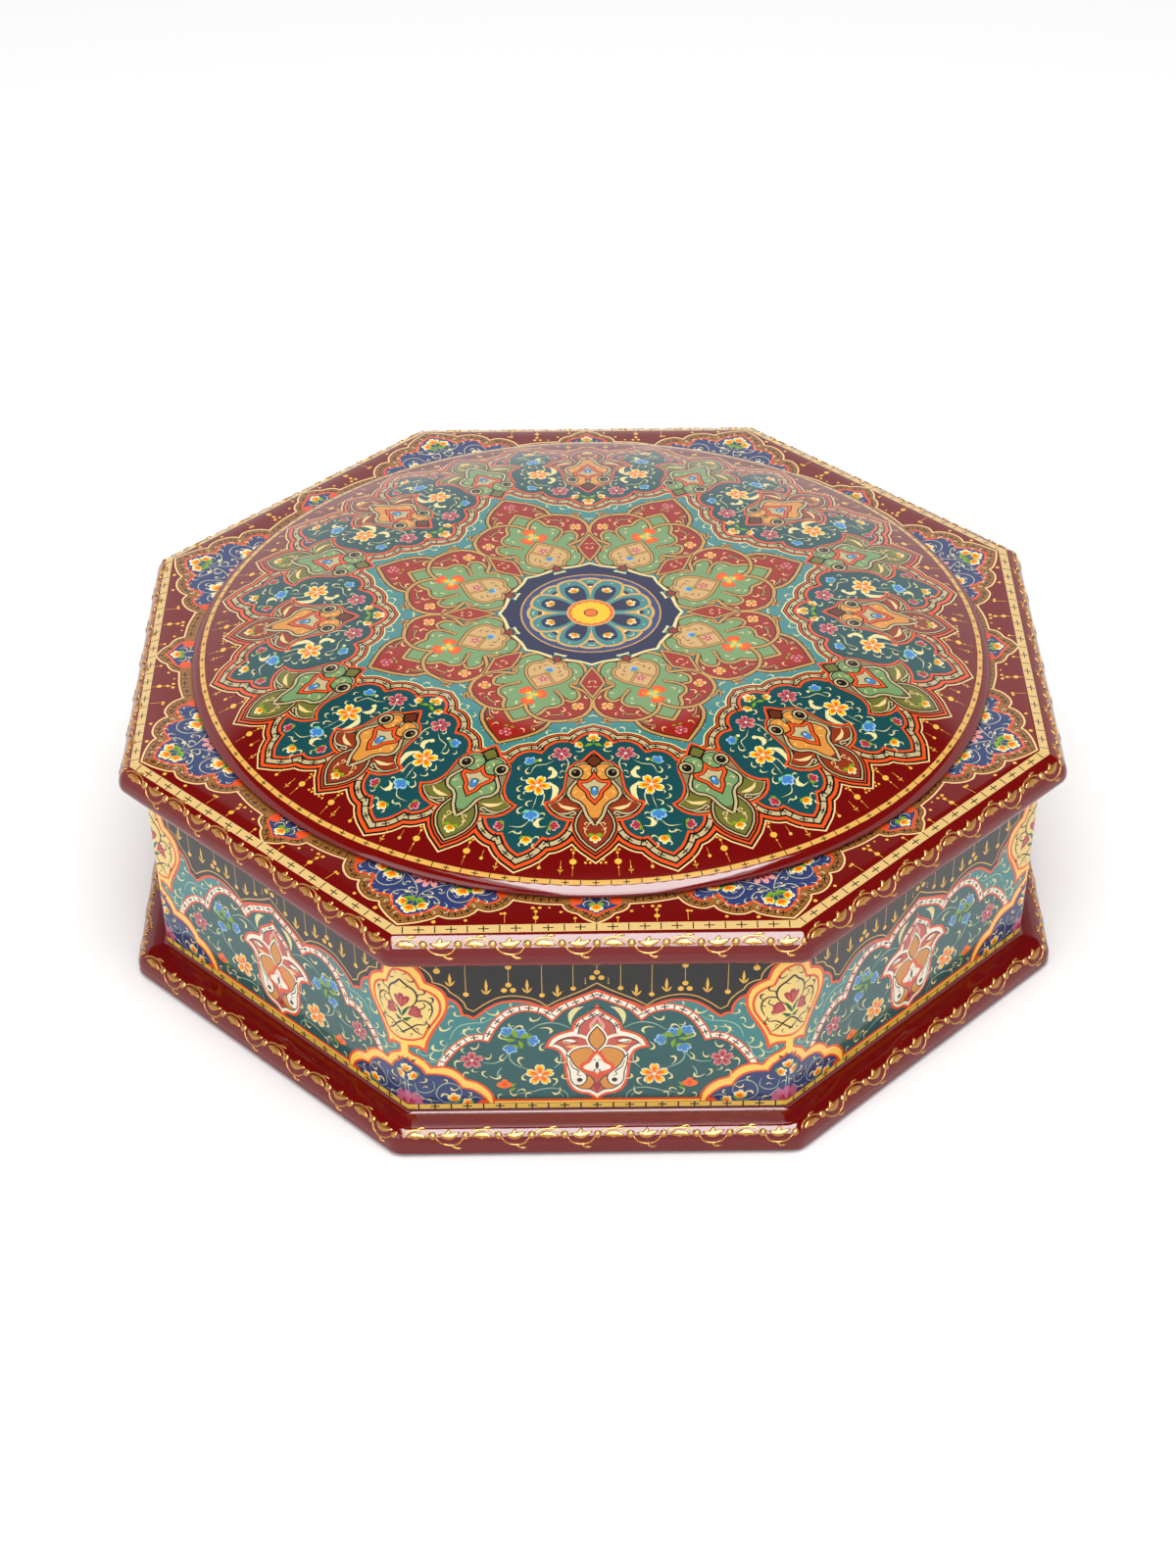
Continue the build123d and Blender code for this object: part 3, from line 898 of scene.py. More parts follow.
# One mesh from the copies of a patch, welded along their seams; close adds the unpainted faces
def skinMesh(name, patch, bend, copies, close=None):
    corners, faces, names = patch
    palette = sorted(set(names))
    numbers = {paint: k for k, paint in enumerate(palette)}
    mesh = bpy.data.meshes.new(name)
    build = bmesh.new()
    shade = build.verts.layers.float_vector.new("surface")
    skin = build.faces.layers.int.new("skin")
    for mirror, turn in copies:
        points, normals = bend(corners, mirror, turn)
        made = [build.verts.new(p) for p in (points * mm).tolist()]
        for vert, normal in zip(made, normals.tolist()):
            vert[shade] = normal
        for face, paint in zip(faces.tolist(), names):
            order = face if mirror < 0 else face[::-1]
            new = build.faces.new([made[k] for k in order])
            new.material_index = numbers[paint]
            new[skin] = 1
            new.smooth = True
    bmesh.ops.remove_doubles(build, verts=build.verts, dist=seamGap * mm)
    if close:
        close(build, numbers, palette)
    bmesh.ops.recalc_face_normals(build, faces=build.faces)
    build.to_mesh(mesh)
    build.free()
    shades = np.zeros(len(mesh.vertices) * 3)
    mesh.attributes["surface"].data.foreach_get("vector", shades)
    shades = shades.reshape(-1, 3)
    marks = np.zeros(len(mesh.polygons), int)
    mesh.attributes["skin"].data.foreach_get("value", marks)
    loopNormals = np.zeros((len(mesh.loops), 3))
    for polygon in mesh.polygons:
        for k in polygon.loop_indices:
            loopNormals[k] = shades[mesh.loops[k].vertex_index] if marks[polygon.index] else polygon.normal
    mesh.normals_split_custom_set(loopNormals.tolist())
    for layer in ("surface", "skin"):
        mesh.attributes.remove(mesh.attributes[layer])
    piece = addObject(name, mesh)
    for paint in palette:
        mesh.materials.append(paintOf(paint))
    print(name, len(mesh.polygons), "faces,", len(palette), "paints")
    return piece


def paletteNumber(paint, numbers, palette):
    if paint not in numbers:
        numbers[paint] = len(palette)
        palette.append(paint)
    return numbers[paint]


# One face over a loop of edges
def fillLoop(build, loop, number):
    for face in bmesh.ops.contextual_create(build, geom=loop)["faces"]:
        face.material_index = number


def closeDome(build, numbers, palette):
    fillLoop(build, [e for e in build.edges if e.is_boundary], paletteNumber("deepRed", numbers, palette))


def makeDome():
    cell = paintDome()
    rings = [dome["gridStep"] * k for k in range(1, int(edgeStart / dome["gridStep"]))]
    rings += [edgeStart + (lipStart - edgeStart) * k / 4 for k in range(4)]
    rings += [lipStart + (lipEnd - lipStart) * k / 4 for k in range(5)]
    extra = []
    for radius in rings:
        extra += arcPoints(radius, max(1, round(radius * halfSide / dome["arcStep"])))
    patch = cell.triangles(extra)
    print("dome patch:", len(patch[1]), "triangles,", len(cell.layers), "brush shapes")
    piece = skinMesh("painted_dome", patch, bendDome, sixteenths, closeDome)
    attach(piece, "lid")
    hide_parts("lid_dome")


makeDome()


# Raised gold on the noses: low ridges and beads that follow the surface
vine = {
    "bays": 12, "sideHalf": 57.2, "above": 1.75, "below": 3.0, "stemWidth": 0.7, "stemLift": 0.18,
    "leafWidth": 2.5, "leafLift": 0.3, "beadRadius": 1.3, "beadLift": 0.42, "sunk": 0.1,
}
goldLeaf = {"colour": (178, 124, 58), "metallic": 0.6, "roughness": 0.25, "coat": 0.3, "grain": 300.0,
            "grainDepth": 0.35}


# Raised strokes, drawn flat, with how far each point stands off the surface
class Relief:
    def __init__(self):
        self.spots = []
        self.lifts = []
        self.faces = []

    def ridge(self, points, widths, lift, step=1.2):
        line = curve(list(points), step=step)
        first, count = len(self.spots), len(line) - 1
        start, middle, end = widths
        for k, here in enumerate(line):
            along = (line[min(k + 1, count)] - line[max(k - 1, 0)]).normalized()
            t = k / count
            width = start + (middle - start) * math.sin(math.pi * t) + (end - start) * t
            for across, high in ((-0.5, 0), (-0.3, 0.72), (0, 1), (0.3, 0.72), (0.5, 0)):
                self.spots.append(here + Vector((-along.y, along.x)) * width * across)
                self.lifts.append(lift * high * min(1, width / middle) - vine["sunk"] * (high == 0))
        for k in range(count):
            a, b = first + 5 * k, first + 5 * k + 5
            self.faces += [(a + j, b + j, b + j + 1, a + j + 1) for j in range(4)]
            self.faces.append((a + 4, b + 4, b, a))
        self.faces.append(tuple(first + j for j in range(5)))
        self.faces.append(tuple(first + 5 * count + j for j in range(4, -1, -1)))

    def bead(self, x, y, radius, lift, sides=8):
        first = len(self.spots)
        for size, high in ((1.0, -vine["sunk"]), (0.78, lift * 0.7)):
            self.spots += placed(roundSpot(radius * size, sides=sides), x, y)
            self.lifts += [high] * sides
        self.spots.append(Vector((x, y)))
        self.lifts.append(lift)
        for k in range(sides):
            a, b = first + k, first + (k + 1) % sides
            self.faces += [(a, b, b + sides, a + sides), (a + sides, b + sides, first + 2 * sides)]
        self.faces.append(tuple(first + k for k in range(sides - 1, -1, -1)))


# One side's vine: beads at the nodes, the stem arching by turns above and below, a leaf in each bay
def vineSide(middle):
    made = Relief()
    pitch = 2 * vine["sideHalf"] / vine["bays"]
    for k in range(vine["bays"]):
        x = -vine["sideHalf"] + k * pitch
        swing = vine["below"] if k % 2 else -vine["above"]

        def at(along, out):
            return (x + along * pitch, middle + out * swing)

        thin = vine["stemWidth"]
        made.ridge((at(0.06, 0.1), at(0.22, 0.74), at(0.5, 1.0), at(0.78, 0.76), at(0.95, 0.1)),
                   (thin * 0.7, thin, thin * 0.7), vine["stemLift"], 1.6)
        made.ridge((at(0.5, 1.0), at(0.66, 1.36), at(0.82, 1.3)), (0.3, 1.0, 0.25), 0.34)
        wide, lift = vine["leafWidth"], vine["leafLift"]
        made.ridge((at(0.18, -0.1), at(0.48, 0.12), at(0.84, -0.3)), (0.5, wide, 0.3), lift)
        made.ridge((at(0.34, 0.0), at(0.5, -0.34), at(0.5, -0.66)), (0.6, wide * 0.7, 0.25), lift * 0.8)
        made.bead(x + pitch, middle, vine["beadRadius"], vine["beadLift"])
    return made


# Raised gold leaf: bright metal with a fine beaten grain
def goldMaterial():
    colour = opaque(goldLeaf["colour"])
    values = {"Base Color": colour, "Metallic": goldLeaf["metallic"], "Roughness": goldLeaf["roughness"],
              "Coat Weight": goldLeaf["coat"]}
    material, shader, ink = newMaterial("raisedGold", values)
    material.diffuse_color = colour
    addBump(ink, shader, goldLeaf["grainDepth"], mm, ink.noise(goldLeaf["grain"], 2.0))
    return material


def makeVine(name, bend, middle, body):
    drawn = vineSide(middle)
    flat = np.array([tuple(p) for p in drawn.spots])
    hand = np.where(flat[:, 0] < 0, -1.0, 1.0)
    flat[:, 0] = np.abs(flat[:, 0])
    lifts = np.array(drawn.lifts)[:, None]
    build = bmesh.new()
    for turn in range(0, 360, 45):
        points, normals = bend(flat, hand, turn)
        made = [build.verts.new(p) for p in ((points + normals * lifts) * mm).tolist()]
        for face in drawn.faces:
            build.faces.new([made[k] for k in face]).smooth = True
    bmesh.ops.recalc_face_normals(build, faces=build.faces)
    mesh = bpy.data.meshes.new(name)
    build.to_mesh(mesh)
    build.free()
    mesh.materials.append(paintOf("raisedGold"))
    piece = addObject(name, mesh)
    print(name, len(mesh.polygons), "faces")
    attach(piece, body)


lacquers["raisedGold"] = goldMaterial()


# The lid board: flat border, bullnose and underside in one skin

# Places a patch drawn with Y outwards on a board: profile turns Y into apothem and height
def cornerRun(points, profile, flatHalf, cornerOf):
    apothem, height, slope = profile(points[:, 1])
    share = points[:, 0] / np.maximum(points[:, 1] * math.tan(halfSide), tiny)
    corner = cornerOf(apothem)
    flat = flatHalf(apothem)
    reach = share * (flat + corner * halfSide)
    round_ = np.clip((reach - flat) / np.maximum(corner, tiny), 0, halfSide)
    across = np.minimum(reach, flat) + corner * np.sin(round_)
    out = apothem - corner * (1 - np.cos(round_))
    return across, out, round_, height, slope


# World points and normals from side coordinates
def turnedRound(across, out, facing, height, slope, mirror, turn):
    around = math.radians(turn)
    c, s = math.cos(around), math.sin(around)
    x = across * mirror
    points = np.stack([x * c + out * s, x * s - out * c, height], axis=1)
    face = facing * mirror
    level = np.sin(slope)
    nx, ny = np.sin(face), np.cos(face)
    normals = np.stack([level * (nx * c + ny * s), level * (nx * s - ny * c), np.cos(slope)], axis=1)
    return points, normals


board = {
    "apothem": 140.0, "cornerRadius": 5.5, "holeRadius": 117.0, "crownFrom": 129.5, "noseFrom": 135.3,
    "crownTurn": 16, "driftFar": 1.5, "driftTowards": -133, "driftRise": 4, "driftUntil": 138,
    "vineReach": 3.1, "lineFrom": 133.0, "lineTo": 135.8, "markStep": 4.45,
}
boardLow, boardHigh = (corner.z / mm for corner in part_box("lid_board"))
cornerAxis = board["apothem"] - board["cornerRadius"]
crownTurn = math.radians(board["crownTurn"])
crownRadius = (board["noseFrom"] - board["crownFrom"]) / math.sin(crownTurn)
crownEnd = board["crownFrom"] + crownRadius * crownTurn             # reach at which the nose begins
upperRadius = (board["apothem"] - board["noseFrom"]) / (1 - math.sin(crownTurn))
upperEnd = crownEnd + upperRadius * (math.pi / 2 - crownTurn)       # reach at which the nose is upright
uprightHigh = boardHigh - crownRadius * (1 - math.cos(crownTurn)) - upperRadius * math.cos(crownTurn)
lowerRadius = uprightHigh - boardLow
boardEnd = upperEnd + lowerRadius * math.pi / 2


# Apothem, height and slope along the crowned top and then round the nose
def boardProfile(y):
    crown = np.clip(y - board["crownFrom"], 0, crownEnd - board["crownFrom"]) / crownRadius
    upper = np.clip(y - crownEnd, 0, upperEnd - crownEnd) / upperRadius
    lower = np.clip(y - upperEnd, 0, boardEnd - upperEnd) / lowerRadius
    apothem = np.minimum(y, board["crownFrom"]) + crownRadius * np.sin(crown)
    apothem = apothem + upperRadius * (np.sin(crownTurn + upper) - math.sin(crownTurn))
    apothem = apothem - lowerRadius * (1 - np.cos(lower))
    height = boardHigh - crownRadius * (1 - np.cos(crown))
    height = height - upperRadius * (math.cos(crownTurn) - np.cos(crownTurn + upper))
    height = height - lowerRadius * np.sin(lower)
    return apothem, height, crown + upper + lower


def bendNose(flat, mirror, turn):
    side = cornerRun(flat, boardProfile, lambda a: np.minimum(a, cornerAxis) * math.tan(halfSide),
                     lambda a: np.maximum(a - cornerAxis, 0))
    return turnedRound(*side, mirror, turn)


# The painting lies a little off the board's middle, as a border ruled by hand does
def bendBoard(flat, mirror, turn):
    around = np.arctan2(flat[:, 0], flat[:, 1]) * mirror + math.radians(turn)
    y = flat[:, 1]
    rise = np.clip((y - board["holeRadius"]) / board["driftRise"], 0, 1)
    weight = rise * np.clip((boardEnd - y) / (boardEnd - board["driftUntil"]), 0, 1)
    slide = board["driftFar"] * np.cos(around - math.radians(board["driftTowards"])) * weight
    return bendNose(flat * (1 + slide / y)[:, None], mirror, turn)


# Closed outline of half a side between two apothems; arc rounds the inner end into a circle
def wedge(low, high, arc=False):
    inner = arcPoints(low) if arc else flatPoints((0, low), (low * math.tan(halfSide), low))
    outer = [Vector((high * math.tan(halfSide) * k / 24, high)) for k in range(25)]
    return inner + outer[::-1]


# Loose points along half a side, closer where its corner is rounded
def rowPoints(y):
    far = y * math.tan(halfSide)
    spread = [Vector((far * j / 22, y)) for j in range(23)]
    return spread + [Vector((far * j / 120, y)) for j in range(115, 120)]


def stripe(low, high):
    return flatPoints((-5, low), (90, low), (90, high), (-5, high))


# Fills every open loop with one face
def closeLoops(build, numbers, palette):
    edges = [e for e in build.edges if e.is_boundary]
    while edges:
        loop, todo = [], [edges[0]]
        seen = {edges[0]}
        while todo:
            edge = todo.pop()
            loop.append(edge)
            for vert in edge.verts:
                for other in vert.link_edges:
                    if other.is_boundary and other not in seen:
                        seen.add(other)
                        todo.append(other)
        fillLoop(build, loop, paletteNumber("deepRed", numbers, palette))
        edges = [e for e in edges if e not in seen]


borderHalf = curve([(0, 133.2), (2.3, 131.9), (4.0, 130.6), (5.1, 129.1)],
                   [(7.1, 128.3), (8.7, 126.9), (9.4, 125.0)], [(16.2, 124.4), (23.0, 122.7)])
spandrelHalf = curve([(-25.6, 121.9), (-25.0, 124.9), (-23.2, 127.7), (-20.7, 129.4), (-18.0, 129.3)],
                     [(-17.7, 131.0), (-16.5, 133.0), (-14.4, 134.9), (-11.6, 136.0), (-8.9, 135.8)],
                     [(-8.3, 137.1), (-6.9, 138.6), (-4.8, 140.3), (-2.4, 141.8), (0, 143.1)])
pointHalf = curve([(0, 130.4), (1.6, 129.0), (3.2, 128.0)],
                  [(4.8, 127.3), (6.5, 126.0), (7.1, 124.0), (6.6, 119)], [(0, 112)])


def paintBorder():
    cell = Cell("deepRed", wedge(board["holeRadius"], boardEnd, True))
    corner = AxisCell(cell, 22.5)
    rim = onAxis(spandrelHalf, 22.5)
    border = flatPoints((-9, 125.0)) + mirrored(borderHalf[:12])[::-1] + borderHalf + rim
    border += onAxis(mirrored(spandrelHalf)[::-1][1:], 22.5) + flatPoints((50, 60), (0, 60), (-9, 60))
    layered(cell, border, (0.3, "cream"), (-0.28, "dropBrown"), (-0.62, "bandOchre"))
    bandMarks(cell, borderHalf, -1.75, 2.3, 0.8)
    bandMarks(cell, rim, -1.85, 2.3, 1.2)
    point = bothSides(pointHalf)
    layered(cell, point, (0, "orangeRed"), (-0.75, "navy"))
    spandrel = bothSides(mirrored(spandrelHalf)[::-1] + flatPoints((22, 116), (0, 112)))
    layered(corner, spandrel, (-2.85, "dropBrown"), (-3.0, "orangeRed"), (-3.8, "navy"))
    dot(cell, "orangeRed", 5.5, 123.4, 1.8)
    dot(cell, "orangeRed", 26.1, 119.5, 1.7)
    paintPoint(cell)
    paintSpandrel(corner)
    # border line with its marks, and gold spots on the red
    cell.put("borderGold", stripe(board["lineFrom"], board["lineTo"]))
    for k in range(14):
        place = Vector((board["markStep"] * k, (board["lineFrom"] + board["lineTo"]) / 2))
        (crossMark if k % 2 else tickMark)(cell, place, 0, 2.4, 0.34)
    for x, low, high in ((16.8, 126.6, 132.6), (25.4, 128.6, 132.4), (5.9, 131.0, 132.8)):
        cell.put("dotGold", stroke(flatPoints((x, low), (x, high)), 0.16))
    for x, y, radius in ((16.8, 130.4, 0.85), (16.8, 127.8, 0.6), (15.7, 126.2, 0.55), (17.6, 126.2, 0.6),
                         (5.9, 130.9, 0.5), (9.8, 128.2, 0.5), (25.4, 128.4, 0.55), (13.0, 126.2, 0.35)):
        dot(cell, "dotGold", x, y, radius, sides=7)
    for x, y, radius in ((-8.8, 138.7, 0.65), (-16.8, 135.0, 0.55), (-24.8, 128.8, 0.45)):
        dot(corner, "dotGold", x, y, radius, sides=7)
    return cell


# The bud and scrolls in the little point at the middle of a side
def paintPoint(cell):
    bud(cell, 0, 125.2, 2.5, 0, "yellow")
    for flip in bothHands(cell):
        leaf(flip, "brightGreen", 2.4, 1.1, 0.1, 0, 124.8, -80)
        stem(flip, "leafCream", 0.3, (0.4, 124.4), (2.2, 123.4), (3.6, 124.6), (3.2, 126.0))
        scrolls(flip, "leafCream", 1.5, (2.0, 122.2, 60), (3.6, 122.8, 150, 1.2), (1.4, 121.2, 10, 1.2))


# Three buds at the tip, two pairs beside a half rose on the foot, and scrolls between them
def paintSpandrel(corner):
    for flip in bothHands(corner):
        stem(flip, "spanCream", 0.3, (0.5, 130.8), (2.6, 129.0), (5.2, 128.9), (7.1, 130.8), (6.7, 133.2),
             (5.2, 134.6))
        stem(flip, "spanCream", 0.3, (0.4, 130.4), (0.8, 127.6), (2.2, 125.2), (5.0, 122.4), (7.4, 121.0))
        stem(flip, "spanCream", 0.3, (7.6, 120.6), (7.0, 124.4), (8.4, 127.6), (11.2, 128.7), (13.9, 127.2),
             (14.6, 124.2), (13.8, 121.8))
        stem(flip, "spanCream", 0.28, (13.4, 121.8), (15.8, 123.0), (18.0, 122.4), (19.0, 120.4))
        for x, y, turn, long in ((8.8, 125.0, 170, 3.0), (4.8, 128.6, 95, 2.6)):
            leaf(flip, "spanCream", long, 1.3, 0.2, x, y, turn)
        scrolls(flip, "spanCream", 1.6, (9.6, 131.2, 60), (12.6, 131.6, 30, 1.45), (10.6, 133.8, 110, 1.4),
                (14.8, 130.0, 60), (3.4, 126.6, 20, 1.8), (6.0, 126.2, 120, 1.45), (5.2, 124.4, 60, -1.4),
                (10.4, 126.6, 200, -1.35), (16.8, 125.6, 60, 1.45), (19.2, 125.2, 30, 1.45),
                (20.8, 123.4, 100, 1.3), (16.6, 120.4, 60, 1.3), (1.7, 128.6, 150, 1.5),
                (4.4, 136.4, 40, 1.3), (2.9, 138.4, 20, 1.3), (6.2, 131.2, 150, 1.4),
                (12.4, 124.8, 30, 1.3), (16.4, 128.0, 10, 1.4), (4.4, 131.4, 60, 1.4),
                (7.4, 134.6, 20, 1.3))
        leaf(flip, "brightGreen", 3.0, 1.4, 0.1, 0.0, 131.2, -84)
        leaf(flip, "brightGreen", 3.6, 1.4, 0.1, 8.4, 118.4, 5)
        leaf(flip, "brightGreen", 4.0, 1.3, 0.1, 13.4, 119.6, 84)
        stem(flip, "brightGreen", 0.6, (0, 131.2), (0.9, 132.2), (1.8, 133.0))
        bud(flip, 1.7, 132.8, 2.5, -62, "yellow")
        bud(flip, 11.0, 121.6, 3.0, 8, "yellow")
        bud(flip, 13.2, 120.4, 2.7, -66, "yellow")
        for turn, long in ((-66, 5.6), (-31, 5.6)):
            petal(flip, "paleRose", long, 1.8, 0, 119.3, turn)
            petal(flip, "darkRose", long * 0.66, 1.1, 0, 119.3, turn)
    stem(corner, "brightGreen", 0.7, (0, 131.0), (0, 134.4))
    bud(corner, 0, 134.0, 2.9, 0, "yellow")
    petal(corner, "paleRose", 5.8, 1.8, 0, 119.3)
    petal(corner, "darkRose", 3.8, 1.1, 0, 119.3)


def makeLidBoard():
    cell = paintBorder()
    extra = gridPoints(0.4, 60, 118.5, board["crownFrom"] - 1, 4.5)
    rows = [board["crownFrom"] + 1.45 * k for k in range(5)]
    rows += [crownEnd + (boardEnd - crownEnd) * k / 14 for k in range(14)]
    for y in rows:
        extra += rowPoints(y)
    patch = cell.triangles(extra)
    print("border patch:", len(patch[1]), "triangles,", len(cell.layers), "brush shapes")
    piece = skinMesh("painted_lid_board", patch, bendBoard, sixteenths, closeLoops)
    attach(piece, "lid")
    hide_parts("lid_board")
    makeVine("gold_vine_lid", bendNose, crownEnd + board["vineReach"], "lid")


makeLidBoard()


# The plinth board: ledge, rounded nose and underside
plinth = {
    "apothem": 140.5, "footApothem": 131.3, "bevel": 0.8, "fall": 0.5, "noseRadius": 5.0, "footBevel": 1.0,
    "cornerInner": 2.0, "cornerOuter": 5.5, "ledgeDrop": 1.0, "footLap": 0.2, "vineTurn": 46,
}
plinthLow, plinthHigh = (corner.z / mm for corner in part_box("plinth_board"))


# The board's section: apothem, height and slope along it, from the walls' foot to the underside
def plinthKnots():
    p = plinth
    ledge = plinthHigh - p["ledgeDrop"]
    foot = p["footApothem"]
    knots = [(foot, plinthHigh - p["footLap"], 90), (foot, ledge + p["bevel"], 70)]
    knots += [(foot + p["bevel"], ledge, 20), (foot + p["bevel"] + 0.3, ledge - 0.05, 3)]
    nose = p["apothem"] - p["noseRadius"]
    top = ledge - p["fall"]
    knots.append((nose, top + 0.05, 5))
    for k in range(1, 9):
        turn = math.radians(90 * k / 8)
        knots.append((nose + p["noseRadius"] * math.sin(turn), top - p["noseRadius"] * (1 - math.cos(turn)),
                     90 * k / 8))
    knots.append((p["apothem"], plinthLow + p["footBevel"], 90))
    knots.append((p["apothem"] - p["footBevel"], plinthLow, 150))
    return knots


sectionKnots = plinthKnots()
sectionReach = [0.0]
for a, b in zip(sectionKnots, sectionKnots[1:]):
    sectionReach.append(sectionReach[-1] + math.hypot(b[0] - a[0], b[1] - a[1]))
plinthEnd = plinth["footApothem"] + sectionReach[-1]


def plinthProfile(y):
    reach = y - plinth["footApothem"]
    columns = list(zip(*sectionKnots))
    apothem, height, slope = (np.interp(reach, sectionReach, column) for column in columns)
    return apothem, height, np.radians(slope)


def plinthCorner(apothem):
    share = (apothem - plinth["footApothem"]) / (plinth["apothem"] - plinth["footApothem"])
    return plinth["cornerInner"] + (plinth["cornerOuter"] - plinth["cornerInner"]) * share


def bendPlinth(flat, mirror, turn):
    side = cornerRun(flat, plinthProfile, lambda a: (a - plinthCorner(a)) * math.tan(halfSide),
                     plinthCorner)
    return turnedRound(*side, mirror, turn)


def makePlinth():
    cell = Cell("deepRed", wedge(plinth["footApothem"], plinthEnd))
    extra = []
    for y in [plinth["footApothem"] + reach for reach in sectionReach[1:-1]]:
        extra += rowPoints(y)
    patch = cell.triangles(extra)
    print("plinth patch:", len(patch[1]), "triangles")
    piece = skinMesh("painted_plinth", patch, bendPlinth, sixteenths, closeLoops)
    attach(piece, "box")
    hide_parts("plinth_board")
    nose = plinth["footApothem"] + sectionReach[4]
    middle = nose + plinth["noseRadius"] * math.radians(plinth["vineTurn"])
    makeVine("gold_vine_plinth", bendPlinth, middle, "box")


makePlinth()


# The walls: half a panel is painted, mirrored, and wrapped round the rounded corner
wall = {
    "footApothem": 131.3, "flare": 1.5, "thickness": 6.0, "cornerRadius": 2.0, "width": 54.8,
    "markStep": 4.7, "markHeight": 1.2, "cornerWidth": 0.79,
}
wallLow, wallHigh = (corner.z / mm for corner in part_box("wall_front"))
wallSlope = wall["flare"] / (wallHigh - wallLow)


# Half the length round a panel's outside, to the middle of its rounded corner
def wallReach(apothem):
    return (apothem - wall["cornerRadius"]) * math.tan(halfSide) + wall["cornerRadius"] * halfSide


def bendWall(flat, mirror, turn):
    apothem = wall["footApothem"] + (flat[:, 1] - wallLow) * wallSlope
    corner = wall["cornerRadius"]
    flatPart = (apothem - corner) * math.tan(halfSide)
    reach = flat[:, 0] / wall["width"] * wallReach(apothem)
    round_ = np.clip((reach - flatPart) / corner, 0, halfSide)
    across = np.minimum(reach, flatPart) + corner * np.sin(round_)
    out = apothem - corner * (1 - np.cos(round_))
    slope = np.full(len(flat), math.pi / 2 + math.atan(wallSlope))
    return turnedRound(across, out, round_, flat[:, 1], slope, mirror, turn)


# Gives a panel its thickness, mitred at both ends
def wallCloser(turn):
    def close(build, numbers, palette):
        around = math.radians(turn)
        c, s = math.cos(around), math.sin(around)
        dark = paletteNumber("wallBlack", numbers, palette)
        edges = [e for e in build.edges if e.is_boundary]
        grownPart = bmesh.ops.extrude_edge_only(build, edges=edges)["geom"]
        inner = [v for v in grownPart if isinstance(v, bmesh.types.BMVert)]
        for face in [f for f in grownPart if isinstance(f, bmesh.types.BMFace)]:
            face.material_index = dark
            face[build.faces.layers.int["skin"]] = 0
        for vert in inner:
            x, y, z = vert.co / mm
            across = x * c + y * s
            outer = wall["footApothem"] + (z - wallLow) * wallSlope
            depth = outer - wall["thickness"] / math.cos(math.atan(wallSlope))
            across = across / (wallReach(outer)) * depth * math.tan(halfSide)
            vert.co = Vector((across * c + depth * s, across * s - depth * c, z)) * mm
        fillLoop(build, [e for e in build.edges if e.is_boundary], dark)
    return close


def paintWall():
    outline = flatPoints((0, wallLow), (wall["width"], wallLow), (wall["width"], wallHigh), (0, wallHigh))
    cell = Cell("wallBlack", outline)
    paintPanel(cell)
    return cell


panelTop = curve([(0, 55.6), (2.8, 54.2), (6.6, 52.3), (10.4, 50.5), (12.9, 48.9)],
                 [(15.6, 49.6), (19.0, 51.2), (23.0, 51.8), (27.0, 51.2), (30.4, 49.2), (33.2, 46.6),
                 (34.8, 45.3)], [(36.2, 46.4), (38.0, 46.8)], [(38.4, 49.4), (39.8, 51.8), (42.4, 53.6)])
scallopLine = curve([(0, 58.4), (3.5, 56.0), (7.0, 54.1), (10.6, 52.2), (14.0, 49.9)],
                    [(16.4, 51.9), (19.4, 53.2), (23.6, 53.9), (27.6, 53.2), (31.0, 51.2), (34.6, 48.2)],
                    [(36.6, 49.4)], [(37.2, 51.4), (38.6, 53.4), (41.0, 55.6)],
                    [(41.8, 57.2), (43.4, 58.4), (45.6, 59.2)], [(46.0, 61.4), (47.6, 63.8), (51.0, 66.6)])
archTop = curve([(0, 54.2), (2.4, 53.1), (6.2, 51.2), (10.0, 49.0), (12.6, 45.9)],
                [(14.4, 47.7), (17.4, 48.9), (20.8, 49.2), (24.4, 47.9), (27.4, 45.2), (29.8, 41.4),
                (31.4, 37.8)], [(33.4, 38.3), (36.4, 37.6), (39.8, 35.0), (42.6, 31.4), (44.4, 28.4),
                (45.4, 24.0)])
palmetteHalf = curve([(0, 49.8), (0.9, 48.1), (3.2, 46.3), (5.4, 44.5), (6.6, 42.5), (6.9, 40.6)],
                     [(9.0, 39.9), (11.4, 38.8), (13.2, 37.1), (14.5, 34.2)],
                     [(12.6, 33.9), (10.9, 32.9), (9.7, 30.6), (9.1, 27.0), (8.8, 23.4), (8.2, 20.4),
                     (6.9, 17.8), (4.9, 16.4), (2.6, 15.9)], [(1.2, 14.9), (0, 13.2)])
# the corner's own shapes are drawn from the corner line outwards
cornerHalf = curve([(0, 67.8), (2.6, 67.2), (4.4, 65.2), (6.2, 62.4), (7.1, 59.2)],
                   [(9.6, 57.8), (11.7, 55.8), (12.8, 52.8), (12.7, 49.2), (11.3, 45.6), (9.2, 42.0),
                   (7.7, 39.0), (6.6, 36.2), (6.1, 33.2)], [(4.2, 34.8), (2.2, 35.2), (0, 35.4)])
cornerInner = curve([(0, 64.2), (2.0, 63.2), (3.8, 60.8), (5.3, 56.9)],
                    [(8.2, 55.4), (10.1, 53.4), (10.9, 50.4), (10.5, 47.4), (8.9, 44.4), (7.0, 41.4),
                    (5.6, 38.4)], [(2.9, 37.6), (0, 37.9)])
spandrelOuter = curve([(25.2, 12.0), (24.6, 15.6), (22.8, 18.6), (20.2, 20.8), (17.2, 21.9)],
                      [(15.6, 24.2), (13.2, 26.2), (10.4, 27.0), (7.4, 26.7)],
                      [(6.0, 29.0), (4.4, 30.6), (2.6, 31.8), (1.3, 33.4), (1.1, 37)])
